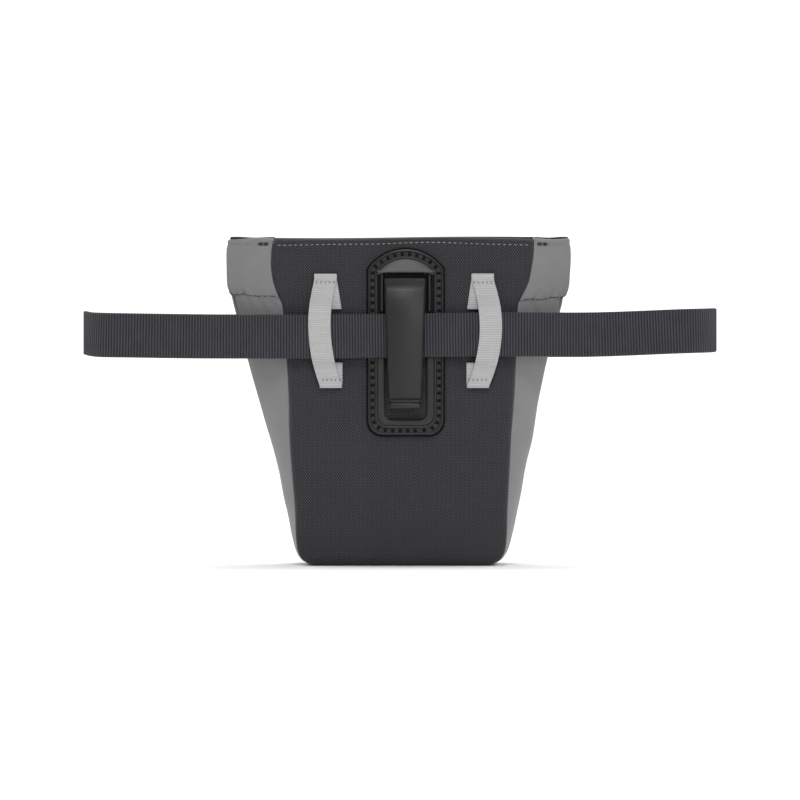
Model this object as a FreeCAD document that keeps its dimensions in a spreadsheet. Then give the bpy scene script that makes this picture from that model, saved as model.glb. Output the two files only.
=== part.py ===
import FreeCAD, Part
import math
import os

import Sketcher

# A waist-belt pouch with a moulded belt clip on its back panel, millimetres throughout.
# The pouch stands on its base: +Z up, +X to the right as seen from the clip side, and the clip
# side faces -Y. The origin is under the middle of the whole outline, on the resting surface.

DIMENSIONS = [
    ("back_face", -26.85, "y of the back panel's outer face"),
    ("panel_thickness", 1.8, "woven nylon over foam"),
    ("foot_half", 46.5, "half width of the panels at the base, before their corners"),
    ("top_height", 149.0, "base to mouth"),
    ("base_depth", 45.0, "outside, front to back at the base"),
    ("mouth_depth", 14.0, "outside, front to back at the closed mouth"),
    ("body_gap", 0.35, "clearance between pieces that move apart"),
    ("contact_gap", 0.05, "least clearance between pieces that lie on each other"),
    ("sunk", 0.3, "how far a raised detail's foot runs into its base"),
    ("corner_radius", 8.0, "bottom corners of the panels"),
    ("foot_seam", 39.5, "half width of the side seam at the resting surface"),
    ("foot_fold", 39.9, "half width of the gusset's fold at the resting surface"),
    ("toe_height", 2.3, "height of the toe section"),
    ("toe_seam", 44.6, "half width of the seam at the toe"),
    ("toe_fold", 45.2, "half width of the fold at the toe"),
    ("heel_height", 8.0, "height of the heel section"),
    ("heel_seam", 47.3, "half width of the seam at the heel"),
    ("heel_fold", 48.9, "half width of the fold at the heel"),
    ("low_height", 26.0, "height of the low section"),
    ("low_seam", 48.4, "half width of the seam at the low section"),
    ("low_fold", 53.2, "half width of the fold at the low section"),
    ("middle_height", 59.0, "height of the middle section"),
    ("middle_seam", 50.2, "half width of the seam at the middle"),
    ("middle_fold", 60.0, "half width of the fold at the middle"),
    ("upper_height", 92.0, "height of the upper section"),
    ("upper_seam", 52.0, "half width of the seam at the upper section"),
    ("upper_fold", 67.8, "half width of the fold at the upper section"),
    ("cuff_height", 121.5, "height of the seam under the gusset's cuff"),
    ("cuff_seam", 54.4, "half width of the side seam at the cuff"),
    ("cuff_fold", 75.2, "half width of the fold at the cuff"),
    ("flare_height", 133.0, "height where the side seam has flared out"),
    ("flare_seam", 58.8, "half width of the side seam at the flare"),
    ("flare_fold", 78.0, "half width of the fold at the flare"),
    ("top_seam", 59.2, "half width of the side seam at the mouth"),
    ("top_fold", 77.4, "half width of the fold at the mouth"),
    ("gusset_thickness", 1.3, "coated gusset cloth"),
    ("foot_turn", 2.6, "gusset's level thickness at the resting surface, times its own"),
    ("toe_turn", 1.8, "gusset's level thickness at the toe, times its own"),
    ("cuff_thickness", 1.6, "coated cloth turned double"),
    ("lining_thickness", 0.5, "lining cloth"),
    ("lining_foot_half", 43.0, "half width of the panel linings at the base"),
    ("lining_top_half", 47.0, "half width of the panel linings at the facing"),
    ("lining_trim", 0.5, "base lining's front edge short of the front panel"),
    ("lining_start", 4.0, "height where the panel linings start"),
    ("facing_thickness", 1.6, "turned hem inside the mouth"),
    ("facing_low_half", 49.2, "half width of the facing at its lower edge"),
    ("facing_top_half", 52.6, "half width of the facing at the mouth"),
    ("stiffener_thickness", 0.8, "polyethylene sheet"),
    ("stiffener_foot_half", 41.0, "half width of the back sheet at its foot"),
    ("stiffener_top_half", 45.0, "half width of the back sheet at its top"),
    ("stiffener_top", 117.0, "height of the back sheet's top edge"),
    ("base_half", 35.4, "half width of the base panel"),
    ("base_lining_half", 38.0, "half width of the base lining"),
    ("magnet_radius", 6.0, "closing magnets"),
    ("magnet_thickness", 1.2, "closing magnets"),
    ("magnet_height", 139.0, "height of the closing magnets' centre"),
    ("clip_centre", 2.6, "x of the clip's centre line"),
    ("clip_half", 17.15, "half width of the clip plate"),
    ("clip_foot", 59.5, "height of the plate's lower edge"),
    ("clip_top", 143.9, "height of the plate's arch"),
    ("clip_corner", 5.5, "radius of the plate's lower corners"),
    ("clip_corner_ease", 0.8, "how fast the corners tighten further inside the plate"),
    ("arch_half", 16.2, "half the arch's chord"),
    ("arch_radius", 18.8, "radius of the plate's arch"),
    ("plate_thickness", 2.6, "moulded plate"),
    ("lip_width", 1.2, "raised edge outside the stitch channel"),
    ("frame_inset", 3.6, "plate edge to the raised inner frame"),
    ("channel_depth", 0.8, "stitch channel below the plate's face"),
    ("window_half", 9.5, "half width of the plate's window"),
    ("window_foot", 66.4, "height of the window's lower edge"),
    ("window_top", 122.0, "height of the window's upper edge"),
    ("ear_width", 1.8, "hinge ears beside the tongue's root"),
    ("ear_foot", 124.2, "height of the ears' lower edge"),
    ("ear_top", 132.6, "height of the ears' upper edge"),
    ("ear_reach", 3.9, "ears above the plate's face"),
    ("head_top", 136.2, "height of the raised head bar's top"),
    ("head_rise", 1.1, "head bar above the plate's face"),
    ("tongue_half_top", 9.0, "half width of the tongue at its root"),
    ("tongue_half_tip", 7.0, "half width of the tongue at its tip"),
    ("tongue_tip", 71.4, "height of the tongue's tip"),
    ("tongue_root", 128.3, "height of the hinge line"),
    ("tongue_knuckle", 2.15, "radius of the tongue's root"),
    ("tongue_thickness", 2.3, "tongue blade"),
    ("throat", 2.7, "plate face to tongue blade"),
    ("lip_reach", 0.9, "tongue's lip beyond its blade"),
    ("catch_height", 78.5, "top of the catch inside the tip"),
    ("catch_reach", 1.9, "catch inside the blade"),
    ("catch_rise", 3.4, "catch's crest above the tip"),
    ("tip_relief", 0.4, "chamfer inside the tip"),
    ("lip_height", 2.4, "face of the tongue's lip"),
    ("lip_slope", 0.8, "slope from the lip to the blade"),
    ("root_length", 3.0, "bent root below the hinge line"),
    ("brow_reach", 0.5, "bend proud of the blade's face"),
    ("brow_height", 0.6, "bend's crest above the hinge line"),
    ("crown_inset", 0.8, "top of the bend behind the blade's face"),
    ("taper_top", 8.0, "taper ends this far below the hinge line"),
    ("stitch_pitch", 3.4, "thread pitch round the plate"),
    ("stitch_length", 2.3, "one thread stitch"),
    ("stitch_width", 0.6, "thread"),
    ("belt_width", 20.0, "ribbed webbing"),
    ("belt_thickness", 1.8, "ribbed webbing"),
    ("belt_height", 105.5, "height of the belt's centre line"),
    ("belt_half_span", 145.0, "half the length of the closed belt"),
    ("belt_turn", 20.0, "centre-line radius of the belt's turns"),
    ("belt_clearance", 0.3, "belt to plate, both faces"),
    ("front_run", 55.75, "back face to the belt's front run"),
    ("strap_width", 10.0, "grosgrain belt loops"),
    ("strap_thickness", 1.2, "grosgrain belt loops"),
    ("strap_top", 132.5, "height of the loops' upper ends"),
    ("strap_foot", 81.4, "height of the loops' lower ends"),
    ("left_strap_x", -35.0, "centre of the left loop"),
    ("right_strap_x", 38.2, "centre of the right loop"),
    ("strap_fold", 0.2, "between a loop strap and its turned end"),
    ("strap_clearance", 0.4, "belt to loop"),
    ("strap_bend_start", 4.6, "loop leaves the panel this far from the belt's edge"),
    ("strap_bend_end", 1.6, "loop stands clear this far from the belt's edge"),
    ("tack_from_top", 3.6, "loop's upper row of stitches below its end"),
    ("tack_from_foot", 3.0, "loop's lower row of stitches above its end"),
    ("tack_pitch", 1.9, "loop stitches"),
    ("tack_length", 1.1, "loop stitches"),
    ("upper_tail", 116.2, "height where the upper turned end stops"),
    ("lower_tail", 92.4, "height where the lower turned end stops"),
    ("buckle_half", 14.0, "half height of the buckle"),
    ("buckle_depth", 8.4, "thickness of the buckle"),
    ("bar_radius", 1.2, "webbing bars of the buckle"),
    ("bar_wrap", 2.25, "centre-line radius of webbing round a bar"),
    ("wrap_slope_start", 4.0, "bar to where the turned webbing starts down"),
    ("wrap_slope_end", 9.0, "bar to where the turned webbing lies flat"),
    ("run_gap", 0.15, "between the belt's front run and its tails"),
    ("socket_bar", -22.2, "x of the socket's webbing bar"),
    ("plug_bar", 14.2, "x of the plug's webbing bar"),
    ("socket_start", -17.0, "x where the socket's shell starts"),
    ("socket_end", 3.0, "x of the socket's mouth"),
    ("hollow_start", -12.5, "x of the hollow's inner end"),
    ("hollow_half", 11.0, "half height of the socket's hollow"),
    ("hollow_depth", 5.2, "thickness of the socket's hollow"),
    ("rail_inner", 10.6, "inside of the rails that carry a bar"),
    ("rail_outer", 13.0, "outside of the rails that carry a bar"),
    ("shell_round", 2.0, "corners of the buckle's shells"),
    ("rail_depth", 3.6, "thickness of the rails"),
    ("window_start", -9.6, "x of the side windows' inner end"),
    ("window_end", -1.0, "x of the side windows' outer end"),
    ("plug_start", 3.4, "x of the plug's shoulder"),
    ("plug_end", 10.4, "x where the plug's rails start"),
    ("guide_half", 2.0, "half height of the plug's guide"),
    ("guide_depth", 3.2, "thickness of the plug's guide"),
    ("guide_start", -10.0, "x of the guide's tip"),
    ("prong_depth", 4.2, "thickness of the release prongs"),
    ("prong_pivot_x", 6.2, "x of the prongs' roots"),
    ("prong_pivot_z", 7.4, "prong roots from the buckle's centre line"),
    ("prong_knuckle", 1.5, "radius of the prongs' roots"),
    ("notch_room", 0.9, "room beside a prong's root for its squeeze"),
    ("barb_end", 0.6, "barb's square end short of the window's end"),
    ("barb_inset", 0.5, "barb inside the shell's edge"),
    ("barb_slope_x", 2.6, "barb's sloping face along the buckle"),
    ("barb_slope_z", 0.9, "barb's sloping face across the buckle"),
    ("prong_tip_x", 0.5, "prong's tip short of the window's end"),
    ("prong_tip_z", 1.0, "prong's tip inside the hollow's wall"),
    ("prong_thinning", 0.4, "prong thinner at its tip"),
    ("tail_end", 100.0, "x where the adjusting tail ends"),
    ("sewn_end", -56.0, "x where the sewn end stops"),
    ("keeper_x", 36.0, "x of the moulded keeper"),
    ("band_x", 60.0, "x of the elastic band"),
    ("keeper_length", 6.0, "moulded keeper along the belt"),
    ("band_length", 12.0, "elastic band along the belt"),
    ("keeper_wall", 1.6, "moulded keeper"),
    ("band_wall", 1.0, "elastic band"),
    ("ring_edge_room", 0.5, "belt's edges to a ring"),
    ("ring_face_room", 0.4, "belt's faces to a ring"),
    ("ring_round", 0.8, "outer corners of a ring"),
]


class Size:
    """A number from the sheet together with the expression that gives it."""

    def __init__(self, value, text):
        self.value = float(value)
        self.text = text

    def __add__(self, other):
        other = as_size(other)
        return Size(self.value + other.value, "(%s + %s)" % (self.text, other.text))

    def __sub__(self, other):
        other = as_size(other)
        return Size(self.value - other.value, "(%s - %s)" % (self.text, other.text))

    def __mul__(self, other):
        other = as_size(other)
        return Size(self.value * other.value, "(%s * %s)" % (self.text, other.text))

    def __truediv__(self, other):
        other = as_size(other)
        return Size(self.value / other.value, "(%s / %s)" % (self.text, other.text))

    def __radd__(self, other):
        return as_size(other) + self

    def __rsub__(self, other):
        return as_size(other) - self

    def __rmul__(self, other):
        return as_size(other) * self

    def __neg__(self):
        return as_size(0) - self


def as_size(number):
    if isinstance(number, Size):
        return number
    return Size(number, "(%r)" % float(number))


def root(size):
    return Size(math.sqrt(size.value), "sqrt(%s)" % size.text)


def hypotenuse(first, second):
    return root(first * first + second * second)


doc = FreeCAD.newDocument("belt_pouch")
sheet = doc.addObject("Spreadsheet::Sheet", "dims")
for row, (alias, number, note) in enumerate(DIMENSIONS, start=1):
    sheet.set("A%d" % row, note)
    sheet.set("B%d" % row, str(number))
    sheet.setAlias("B%d" % row, alias)
doc.recompute()

NODES = []


def dim(alias):
    return Size(sheet.get(alias), "dims.%s" % alias)


def bind(thing, prop, size):
    thing.setExpression(prop, as_size(size).text)


def node(thing, label):
    thing.Label = label
    NODES.append(thing)
    return thing


def new_body(label):
    body = doc.addObject("PartDesign::Body", label + "_body")
    return node(body, label)


def origin_plane(body, role):
    for feature in body.Origin.OriginFeatures:
        if feature.Role == role:
            return feature
    raise ValueError("no plane called " + role)


def new_sketch(body, name, role, offset=None):
    """A sketch on one of the body's own planes, moved along that plane's normal by offset."""
    sketch = body.newObject("Sketcher::SketchObject", name)
    sketch.AttachmentSupport = (origin_plane(body, role), [""])
    sketch.MapMode = "FlatFace"
    if offset is not None:
        bind(sketch, "AttachmentOffset.Base.z", offset)
    return sketch


def fix_point(sketch, index, end, where):
    """Hold one end of a sketch edge at its distances from the sketch's origin."""
    for kind, size in (("DistanceX", where[0]), ("DistanceY", where[1])):
        size = as_size(size)
        number = sketch.addConstraint(Sketcher.Constraint(kind, -1, 1, index, end, size.value))
        name = "%s_%d_%d" % (kind.lower(), index, end)
        sketch.renameConstraint(number, name)
        sketch.setExpression("Constraints." + name, size.text)


def arc_edge(start, finish, radius, left):
    """The arc from start to finish; left says which side of the chord its centre is on."""
    chord = finish - start
    half = chord.Length / 2
    reach = math.sqrt(max(radius * radius - half * half, 0.0))
    normal = FreeCAD.Vector(-chord.y, chord.x, 0).normalize()
    side = 1 if left else -1
    centre = (start + finish) / 2 + normal * reach * side
    middle = centre - normal * radius * side
    return Part.Arc(start, middle, finish)


def trace(sketch, steps):
    """Close a loop through steps: each is (x, y) or (x, y, radius, left) for an arc to there."""
    points = [FreeCAD.Vector(as_size(s[0]).value, as_size(s[1]).value, 0) for s in steps]
    ends = []
    for place, step in enumerate(steps):
        start = points[place - 1]
        finish = points[place]
        if len(step) == 2:
            index = sketch.addGeometry(Part.LineSegment(start, finish))
            ends.append((index, 1, 2))
            continue
        radius = as_size(step[2])
        arc = arc_edge(start, finish, radius.value, step[3])
        index = sketch.addGeometry(arc)
        forward = sketch.getPoint(index, 1).distanceToPoint(start) < 1e-6
        ends.append((index, 1, 2) if forward else (index, 2, 1))
        if abs((finish - start).Length - 2 * radius.value) < 1e-6:
            upright = abs(finish.x - start.x) < 1e-6
            kind, size = ("DistanceX", step[0]) if upright else ("DistanceY", step[1])
        else:
            kind, size = "Radius", radius
        bend = (index, radius.value) if kind == "Radius" else (-1, 1, index, 3, as_size(size).value)
        number = sketch.addConstraint(Sketcher.Constraint(kind, *bend))
        sketch.renameConstraint(number, "bend_%d" % index)
        sketch.setExpression("Constraints.bend_%d" % index, as_size(size).text)
    for place, (index, start_end, finish_end) in enumerate(ends):
        following = ends[(place + 1) % len(ends)]
        sketch.addConstraint(
            Sketcher.Constraint("Coincident", index, finish_end, following[0], following[1]))
        fix_point(sketch, index, finish_end, steps[place])


def pad(body, name, sketch, length, reverse=False, midplane=False):
    feature = body.newObject("PartDesign::Pad", name)
    feature.Profile = sketch
    bind(feature, "Length", length)
    feature.Reversed = reverse
    if midplane:
        feature.Midplane = True
    doc.recompute()
    body.Tip = feature
    return feature


def pocket(body, name, sketch, length, reverse=False):
    """Cut along the sketch's normal and make sure that something was cut."""
    before = body.Shape.Volume
    feature = body.newObject("PartDesign::Pocket", name)
    feature.Profile = sketch
    bind(feature, "Length", length)
    feature.Reversed = reverse
    doc.recompute()
    if not body.Shape.Volume < before - 1e-3:
        raise ValueError("%s cut nothing" % name)
    return feature


def fillet(body, name, chosen, radius):
    """Round the edges of the body's tip that chosen(edge) accepts."""
    base = body.Tip
    names = ["Edge%d" % (i + 1) for i, e in enumerate(base.Shape.Edges) if chosen(e)]
    if not names:
        raise ValueError("%s found no edge" % name)
    feature = body.newObject("PartDesign::Fillet", name)
    feature.Base = (base, names)
    bind(feature, "Radius", radius)
    doc.recompute()
    return feature


def straight_along(edge, axis):
    """True where the edge is a straight line along the given axis, 0 for X, 1 for Y, 2 for Z."""
    if len(edge.Vertexes) != 2:
        return False
    span = edge.Vertexes[1].Point - edge.Vertexes[0].Point
    return abs(abs(span[axis]) - span.Length) < 1e-6 and abs(edge.Length - span.Length) < 1e-6


def middle_of(edge):
    return (edge.Vertexes[0].Point + edge.Vertexes[1].Point) / 2


def both_sides(right_side):
    """Mirror a run of (x, z) corners about x = 0 into one closed loop."""
    left_side = [(-x, z) for x, z in reversed(right_side)]
    return right_side + left_side


def place(thing, x=0, y=0, z=0):
    for name, size in (("x", x), ("y", y), ("z", z)):
        bind(thing, "Placement.Base." + name, size)


def lean_forward(body):
    """Stand a front piece on the front edge of the base, leaning back to the mouth."""
    turn = FreeCAD.Rotation(FreeCAD.Vector(1, 0, 0), math.degrees(math.atan(lean.value)))
    body.Placement = FreeCAD.Placement(FreeCAD.Vector(0, 0, 0), turn)
    bind(body, "Placement.Rotation.Angle", Size(turn.Angle, "atan(%s)" % lean.text))
    place(body, 0, front_foot, front_lift)


back = dim("back_face")
panel = dim("panel_thickness")
height = dim("top_height")
gap = dim("body_gap")
lean = (dim("base_depth") - dim("mouth_depth")) / height
slant = root(1 + lean * lean)
front_foot = back + dim("base_depth")
front_lift = panel * lean + dim("contact_gap")
inner_back = back + panel
beyond = dim("panel_thickness")  # how far a cutting block runs past what it cuts
plate_face = back - dim("plate_thickness")
blade_face = plate_face - dim("throat")


# ---------------------------------------------------------------- panels, linings and facings

def seam_outline(z_scale):
    """Corners of a main panel, base to mouth, on the right-hand side."""
    return both_sides([
        (dim("foot_half"), as_size(0)),
        (dim("heel_seam"), dim("heel_height") * z_scale),
        (dim("low_seam"), dim("low_height") * z_scale),
        (dim("middle_seam"), dim("middle_height") * z_scale),
        (dim("upper_seam"), dim("upper_height") * z_scale),
        (dim("cuff_seam"), dim("cuff_height") * z_scale),
        (dim("flare_seam"), dim("flare_height") * z_scale),
        (dim("top_seam"), height * z_scale),
    ])


def make_panel(label, z_scale, toward_back):
    body = new_body(label)
    sketch = new_sketch(body, label + "_outline", "XZ_Plane")
    trace(sketch, seam_outline(z_scale))
    pad(body, label + "_cloth", sketch, panel, reverse=not toward_back)

    def at_foot(edge):
        return straight_along(edge, 1) and middle_of(edge).z < 0.1

    fillet(body, label + "_corners", at_foot, dim("corner_radius"))
    return body


def make_layer(label, corners, thickness, depth, toward_back):
    """A flat layer parallel to a main panel, depth inside that panel's outer face."""
    body = new_body(label)
    offset = depth if toward_back else -depth
    sketch = new_sketch(body, label + "_outline", "XZ_Plane", offset)
    trace(sketch, corners)
    pad(body, label + "_cloth", sketch, thickness, reverse=not toward_back)
    return body


def lining_corners(z_scale):
    return both_sides([
        (dim("lining_foot_half"), dim("lining_start") * z_scale),
        (dim("lining_top_half"), dim("cuff_height") * z_scale),
    ])


def facing_corners(z_scale):
    return both_sides([
        (dim("facing_low_half"), dim("cuff_height") * z_scale),
        (dim("facing_top_half"), dim("flare_height") * z_scale),
        (dim("facing_top_half"), height * z_scale),
    ])


def stiffener_corners():
    return both_sides([
        (dim("stiffener_foot_half"), dim("lining_start")),
        (dim("stiffener_top_half"), dim("stiffener_top")),
    ])


def cut_magnet_seat(body, label, z_scale, toward_back, depth):
    """A blind round seat in the facing, on the side that lies against the panel."""
    offset = depth if toward_back else -depth
    sketch = new_sketch(body, label + "_seat", "XZ_Plane", offset)
    radius = dim("magnet_radius") + dim("contact_gap") * 2
    centre = FreeCAD.Vector(0, (dim("magnet_height") * z_scale).value, 0)
    circle = sketch.addGeometry(Part.Circle(centre, FreeCAD.Vector(0, 0, 1), radius.value))
    sketch.addConstraint(Sketcher.Constraint("PointOnObject", circle, 3, -2))
    number = sketch.addConstraint(Sketcher.Constraint("Radius", circle, radius.value))
    sketch.renameConstraint(number, "seat_radius")
    bind(sketch, "Constraints.seat_radius", radius)
    number = sketch.addConstraint(
        Sketcher.Constraint("DistanceY", -1, 1, circle, 3, centre.y))
    sketch.renameConstraint(number, "seat_height")
    bind(sketch, "Constraints.seat_height", dim("magnet_height") * z_scale)
    seat = dim("magnet_thickness") + dim("contact_gap")
    pocket(body, label + "_pocket", sketch, seat, reverse=toward_back)


def make_magnet(label, z_scale, toward_back, depth):
    body = new_body(label)
    offset = depth if toward_back else -depth
    sketch = new_sketch(body, label + "_rim", "XZ_Plane", offset)
    centre = FreeCAD.Vector(0, (dim("magnet_height") * z_scale).value, 0)
    radius = dim("magnet_radius")
    circle = sketch.addGeometry(Part.Circle(centre, FreeCAD.Vector(0, 0, 1), radius.value))
    sketch.addConstraint(Sketcher.Constraint("PointOnObject", circle, 3, -2))
    number = sketch.addConstraint(Sketcher.Constraint("Radius", circle, radius.value))
    sketch.renameConstraint(number, "rim_radius")
    bind(sketch, "Constraints.rim_radius", radius)
    number = sketch.addConstraint(
        Sketcher.Constraint("DistanceY", -1, 1, circle, 3, centre.y))
    sketch.renameConstraint(number, "rim_height")
    bind(sketch, "Constraints.rim_height", dim("magnet_height") * z_scale)
    pad(body, label + "_disc", sketch, dim("magnet_thickness"), reverse=not toward_back)
    return body


make_panel("back_panel", as_size(1), False)
place(doc.getObject("back_panel_body"), 0, back, 0)
BACK_LAYERS = [
    make_layer("back_stiffener", stiffener_corners(), dim("stiffener_thickness"), panel, False),
    make_layer("back_lining", lining_corners(as_size(1)), dim("lining_thickness"),
               panel + dim("stiffener_thickness"), False),
    make_layer("back_facing", facing_corners(as_size(1)), dim("facing_thickness"), panel, False),
    make_magnet("back_magnet", as_size(1), False, panel),
]
cut_magnet_seat(BACK_LAYERS[2], "back_facing", as_size(1), False, panel)
for layer in BACK_LAYERS:
    place(layer, 0, back, 0)

FRONT_LAYERS = [
    make_panel("front_panel", slant, True),
    make_layer("front_lining", lining_corners(slant), dim("lining_thickness"), panel, True),
    make_layer("front_facing", facing_corners(slant), dim("facing_thickness"), panel, True),
    make_magnet("front_magnet", slant, True, panel),
]
cut_magnet_seat(FRONT_LAYERS[2], "front_facing", slant, True, panel)
for layer in FRONT_LAYERS:
    lean_forward(layer)


def base_slab(label, half, front_edge, low, thickness):
    """A flat piece of the base between the panels, from low upwards."""
    body = new_body(label)
    sketch = new_sketch(body, label + "_outline", "XY_Plane", low)
    near = inner_back
    trace(sketch, [(-half, near), (half, near), (half, front_edge), (-half, front_edge)])
    pad(body, label + "_cloth", sketch, thickness)
    return body


front_inside = front_foot - panel * slant - gap
base_front = front_inside - panel * lean
base_slab("base_panel", dim("base_half"), base_front, as_size(0), panel)
base_slab("base_stiffener", dim("base_half"), base_front - dim("lining_trim"), panel,
          dim("stiffener_thickness"))
base_slab("base_lining", dim("base_lining_half"), base_front - dim("lining_trim"),
          panel + dim("stiffener_thickness"), dim("lining_thickness"))


# ---------------------------------------------------------------- side gussets

def strip_section(body, name, at, outer, inner, seam, fold):
    """One level section of a folded side wall; outer and inner are its two thicknesses."""
    near = inner_back
    far = front_foot - lean * at - panel * slant - gap
    middle = (near + far) / 2
    half = (far - near) / 2
    across = hypotenuse(fold - seam, half) / half
    start = across * outer
    stop = across * inner
    sketch = new_sketch(body, name, "XY_Plane", at)
    trace(sketch, [
        (seam - start, near),
        (fold - start, middle),
        (seam - start, far),
        (seam - stop, far),
        (fold - stop, middle),
        (seam - stop, near),
    ])
    return sketch


def folded_wall(label, stations, outer, inner):
    """A right-hand side wall lofted through its level sections, and its mirrored twin."""
    body = doc.addObject("PartDesign::Body", "right_%s_body" % label)
    node(body, "right_" + label)
    sections = []
    for station in stations:
        if len(station) == 2:
            name, extra = station
        else:
            name, extra = station, as_size(1)
        at = as_size(0) if name == "foot" else dim(name + "_height")
        sections.append(strip_section(
            body, "%s_%s" % (label, name), at, outer * extra, inner * extra,
            dim(name + "_seam"), dim(name + "_fold")))
    loft = body.newObject("PartDesign::AdditiveLoft", label + "_loft")
    loft.Profile = sections[0]
    loft.Sections = sections[1:]
    loft.Ruled = True
    doc.recompute()
    body.Tip = loft
    twin = doc.addObject("Part::Mirroring", "left_%s_twin" % label)
    twin.Source = body
    twin.Normal = FreeCAD.Vector(1, 0, 0)
    node(twin, "left_" + label)


folded_wall("gusset", [("foot", dim("foot_turn")), ("toe", dim("toe_turn")), "heel", "low",
                       "middle", "upper", "cuff"], as_size(0), dim("gusset_thickness"))
folded_wall("gusset_lining", ["heel", "low", "middle", "upper", "cuff"],
            dim("gusset_thickness"), dim("gusset_thickness") + dim("lining_thickness"))
folded_wall("gusset_cuff", ["cuff", "flare", "top"], as_size(0), dim("cuff_thickness"))


# ---------------------------------------------------------------- clip plate and tongue

def plate_steps(inset):
    """The arched plate's outline, moved inwards by inset."""
    centre = dim("clip_centre")
    half = dim("clip_half") - inset
    foot = dim("clip_foot") + inset
    corner = dim("clip_corner") - inset * dim("clip_corner_ease")
    chord = dim("arch_half") - inset
    bend = dim("arch_radius") - inset
    rise = bend - root(bend * bend - chord * chord)
    spring = dim("clip_top") - inset - rise
    return [
        (centre + half - corner, foot),
        (centre + half, foot + corner, corner, True),
        (centre + half, spring),
        (centre + chord, spring),
        (centre - chord, spring, bend, True),
        (centre - half, spring),
        (centre - half, foot + corner),
        (centre - half + corner, foot, corner, True),
    ]


def make_plate():
    body = new_body("clip_plate")
    outline = new_sketch(body, "plate_outline", "XZ_Plane")
    trace(outline, plate_steps(as_size(0)))
    pad(body, "plate_blank", outline, dim("plate_thickness"))
    channel = new_sketch(body, "plate_channel", "XZ_Plane", dim("plate_thickness"))
    trace(channel, plate_steps(dim("lip_width")))
    trace(channel, plate_steps(dim("frame_inset")))
    pocket(body, "plate_groove", channel, dim("channel_depth"))
    window = new_sketch(body, "plate_window", "XZ_Plane", dim("plate_thickness"))
    centre = dim("clip_centre")
    half = dim("window_half")
    trace(window, [
        (centre - half, dim("window_foot")),
        (centre + half, dim("window_foot")),
        (centre + half, dim("window_top")),
        (centre - half, dim("window_top")),
    ])
    pocket(body, "plate_opening", window, dim("plate_thickness"))
    for side, sign in (("left", -1), ("right", 1)):
        inner = dim("tongue_half_top") + gap
        ear = new_sketch(body, side + "_ear_outline", "XZ_Plane",
                         dim("plate_thickness") - dim("sunk"))
        trace(ear, [
            (centre + sign * inner, dim("ear_foot")),
            (centre + sign * (inner + dim("ear_width")), dim("ear_foot")),
            (centre + sign * (inner + dim("ear_width")), dim("ear_top")),
            (centre + sign * inner, dim("ear_top")),
        ])
        pad(body, side + "_ear", ear, dim("ear_reach") + dim("sunk"))
    head = new_sketch(body, "head_outline", "XZ_Plane",
                      dim("plate_thickness") - dim("sunk"))
    wide = dim("tongue_half_top") + gap + dim("ear_width")
    trace(head, [
        (centre - wide, dim("ear_top") - dim("sunk")),
        (centre + wide, dim("ear_top") - dim("sunk")),
        (centre + wide, dim("head_top")),
        (centre - wide, dim("head_top")),
    ])
    pad(body, "head_bar", head, dim("head_rise") + dim("sunk"))
    place(body, 0, back, 0)
    return body


make_plate()


def make_tongue():
    """The sprung blade: its side profile, tapered in front view."""
    side = doc.addObject("PartDesign::Body", "tongue_side_body")
    profile = new_sketch(side, "tongue_profile", "YZ_Plane")
    face = blade_face
    outer = face - dim("tongue_thickness")
    knuckle = dim("tongue_knuckle")
    axis_y = plate_face - gap - knuckle
    tip = dim("tongue_tip")
    trace(profile, [
        (outer, dim("tongue_root") - dim("root_length")),
        (outer, tip + dim("lip_height") + dim("lip_slope")),
        (outer - dim("lip_reach"), tip + dim("lip_height")),
        (outer - dim("lip_reach"), tip),
        (face - dim("tip_relief"), tip),
        (face + dim("catch_reach"), tip + dim("catch_rise")),
        (face, dim("catch_height")),
        (face, dim("tongue_root") - dim("root_length")),
        (axis_y, dim("tongue_root") - knuckle),
        (axis_y, dim("tongue_root") + knuckle, knuckle, True),
        (outer + dim("crown_inset"), dim("tongue_root") + knuckle),
        (outer - dim("brow_reach"), dim("tongue_root") + dim("brow_height")),
    ])
    pad(side, "tongue_bar", profile, dim("tongue_half_top") * 2, midplane=True)
    place(side, dim("clip_centre"), 0, 0)
    front = doc.addObject("PartDesign::Body", "tongue_front_body")
    taper = new_sketch(front, "tongue_taper", "XZ_Plane")
    trace(taper, both_sides([
        (dim("tongue_half_tip"), tip - beyond),
        (dim("tongue_half_top"), dim("tongue_root") - dim("taper_top")),
        (dim("tongue_half_top"), dim("tongue_root") + knuckle + beyond),
    ]))
    pad(front, "tongue_block", taper, dim("base_depth"), reverse=True)
    place(front, dim("clip_centre"), back - dim("base_depth") / 2, 0)
    common = doc.addObject("Part::MultiCommon", "tongue_shape")
    common.Shapes = [side, front]
    return node(common, "clip_tongue")


make_tongue()


def thread_bars(label, bars):
    """Short straight stitches as one piece: each bar is its centre, direction and length."""
    solids = []
    width = dim("stitch_width").value
    for x, z, angle, length, y in bars:
        box = Part.makeBox(length, width, width, FreeCAD.Vector(-length / 2, 0, -width / 2))
        box.Placement = FreeCAD.Placement(
            FreeCAD.Vector(x, y, z), FreeCAD.Rotation(FreeCAD.Vector(0, -1, 0), angle)
        ).multiply(box.Placement)
        solids.append(box)
    feature = doc.addObject("Part::Feature", label + "_thread")
    feature.Shape = Part.makeCompound(solids)
    return node(feature, label)


def walk(wire, pitch):
    """Points and headings at even steps along a closed wire in the XZ plane."""
    count = int(round(wire.Length / pitch))
    spots = wire.discretize(Number=count * 2 + 1)
    found = []
    for i in range(count):
        before = spots[2 * i]
        after = spots[2 * i + 2]
        middle = spots[2 * i + 1]
        heading = math.degrees(math.atan2(after.z - before.z, after.x - before.x))
        found.append((middle.x, middle.z, heading))
    return found


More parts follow.
